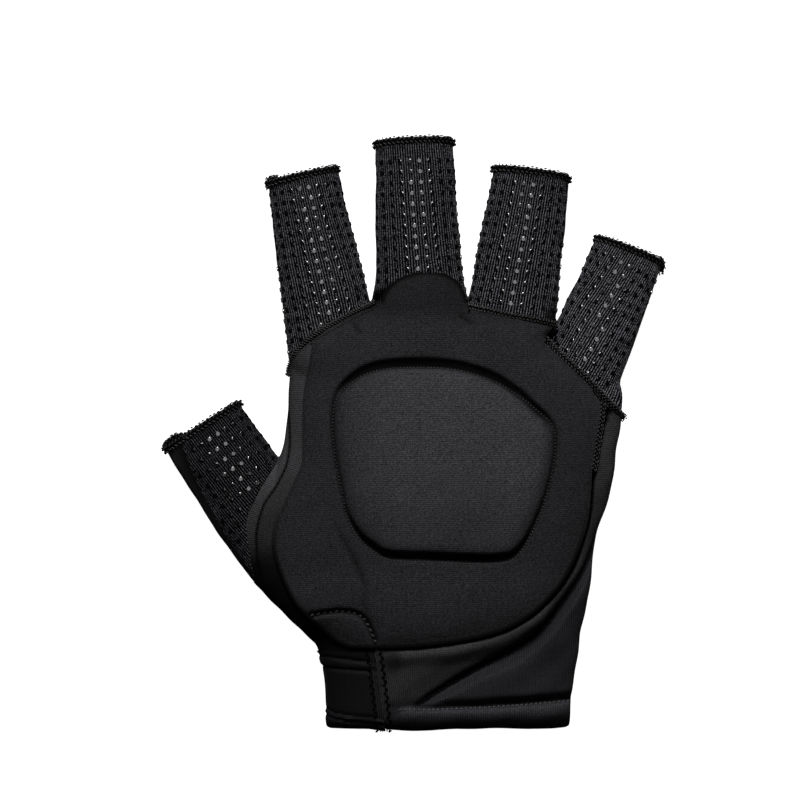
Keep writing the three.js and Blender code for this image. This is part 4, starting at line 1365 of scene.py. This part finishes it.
for name, look in seamLook.items():
    line, _ = layLine(look["line"], 0.8, look["lift"], bothTrees)
    parts = braid(line, upright(line), look)
    if name == "indexSeam":
        parts += [(*stitch, 2) for stitch in stitchRow(**edgeRow)]
    obj = edit(gather(name, parts), outwards)
    finishPiece(obj, name, threads, [look["node"]], 70)
    print(name, len(obj.data.polygons), "faces")

# Stitching on the cloth itself
fineStitch, boldStitch = makeStitch(0.8, 0.2), makeStitch(1.5, 0.36)
clothTrees = [treeOf(pieces[name]) for name in ("thumbWeb", "sideBand", "wristStrap", "cuffHem", "handBack")]
flatlock = [flatlockTop, flatlockFoot]
quiltRow = [(x, y - 1.2 - 1.5 * float(ramp(y, 2, 20))) for x, y in sewn["quilt"] + sewn["quilt"][:1]]
hemStitchLine = [(-4, -87.9), (10, -87.8), (29.2, -86.9), (49.5, -85.5)]
stitchLook = {
    "quiltStitches": [(quiltRow, makeStitch(0.55, 0.3), 1.08, 0.16, [padTree])],
    "dartStitches": [(sewn["dart"], boldStitch, 1.9, 0.1, [padTree], 0.6)],
    "webStitches": [(sewn["webStitch"][:-3], fineStitch, 1.6, 0.05, clothTrees)],
    "hemStitches": [(hemStitchLine, makeStitch(0.95, 0.28), 1.5, 0.15, clothTrees, 0.5)],
    "flatlockStitches": [(shifted(flatlock, -2.2, -0.4), boldStitch, 1.3, 0.05, clothTrees, 0.9, 0.3),
                         (shifted(flatlock, 2.0, -0.4), boldStitch, 1.3, 0.05, clothTrees, 0.9, 0.3)],
}
threadOf = {"hemStitches": "paleThread", "dartStitches": "overlockThread", "quiltStitches": "overlockThread",
            "webStitches": "coreShadeAndBlackThread", "flatlockStitches": "coreShadeAndBlackThread"}
for name, rows in stitchLook.items():
    parts = [stitch for row in rows for stitch in stitchRow(*row)]
    if name == "flatlockStitches":  # threads lying side by side between its two rows
        for dx in (-1.35, -0.65, 0.05, 0.75, 1.45):
            line, up = layLine(shifted(flatlock, dx, -0.4), 0.8, 0.0, clothTrees)
            parts += [(*sweep(line, up, 0.22, 6), 1)]
    finishPiece(gather(name, parts), name, [threadOf[name], "flatThread"], degrees=70)
print("stitching:", ", ".join(stitchLook))

# Stage, light and camera
stageLook = {
    "floorTone": 0.5, "floorGlow": 1.0, "world": 0.012,
    "lamps": {"keyLight": ((-0.03, 0.85, 0.95), 0.5, 22), "dotLight": ((0.06, 0.2, 1.3), 0.8, 4.6),
              "leftFill": ((-0.9, 0.15, 0.22), 0.5, 1.2), "rightFill": ((0.9, 0.15, 0.22), 0.5, 1.2)},
    "lens": 200, "centre": (-4.16, 10.56), "above": 1430,
}
for name, (place, size, power) in stageLook["lamps"].items():
    bpy.ops.object.light_add(type="AREA", location=place)
    lamp = bpy.context.object
    lamp.name = name
    lamp.data.size = size
    lamp.data.energy = power
    lamp.rotation_mode = "QUATERNION"
    lamp.rotation_quaternion = (-Vector(place)).to_track_quat("-Z", "Y")
    lamp.visible_diffuse = name != "dotLight"  # it only mirrors in the dots
    lamp.visible_glossy = "Fill" not in name
world = bpy.data.worlds.new("studio")
bpy.context.scene.world = world
world.use_nodes = True
feed(world.node_tree, world.node_tree.nodes["Background"].inputs[0], (1, 1, 1, 1))
feed(world.node_tree, world.node_tree.nodes["Background"].inputs[1], stageLook["world"])
bpy.ops.mesh.primitive_plane_add(size=6, location=(0, 0, -0.0002))
floor = named(bpy.context.object, "paleFloor")
floorPaint = bpy.data.materials.new("paleFloor")
floorPaint.use_nodes = True
paint = {"Base Color": (stageLook["floorTone"],) * 3 + (1,), "Roughness": 0.9,
         "Emission Color": (1, 1, 1, 1), "Emission Strength": stageLook["floorGlow"]}
for label, value in paint.items():
    feed(floorPaint.node_tree, floorPaint.node_tree.nodes["Principled BSDF"].inputs[label], value)
floor.data.materials.append(floorPaint)
floor.visible_glossy = False
floor.visible_diffuse = False
bpy.ops.object.camera_add(location=[value * mm for value in (*stageLook["centre"], stageLook["above"])])
camera = bpy.context.object
camera.data.lens = stageLook["lens"]
bpy.context.scene.camera = camera
bpy.context.scene.view_settings.view_transform = "Standard"
drop(skin)
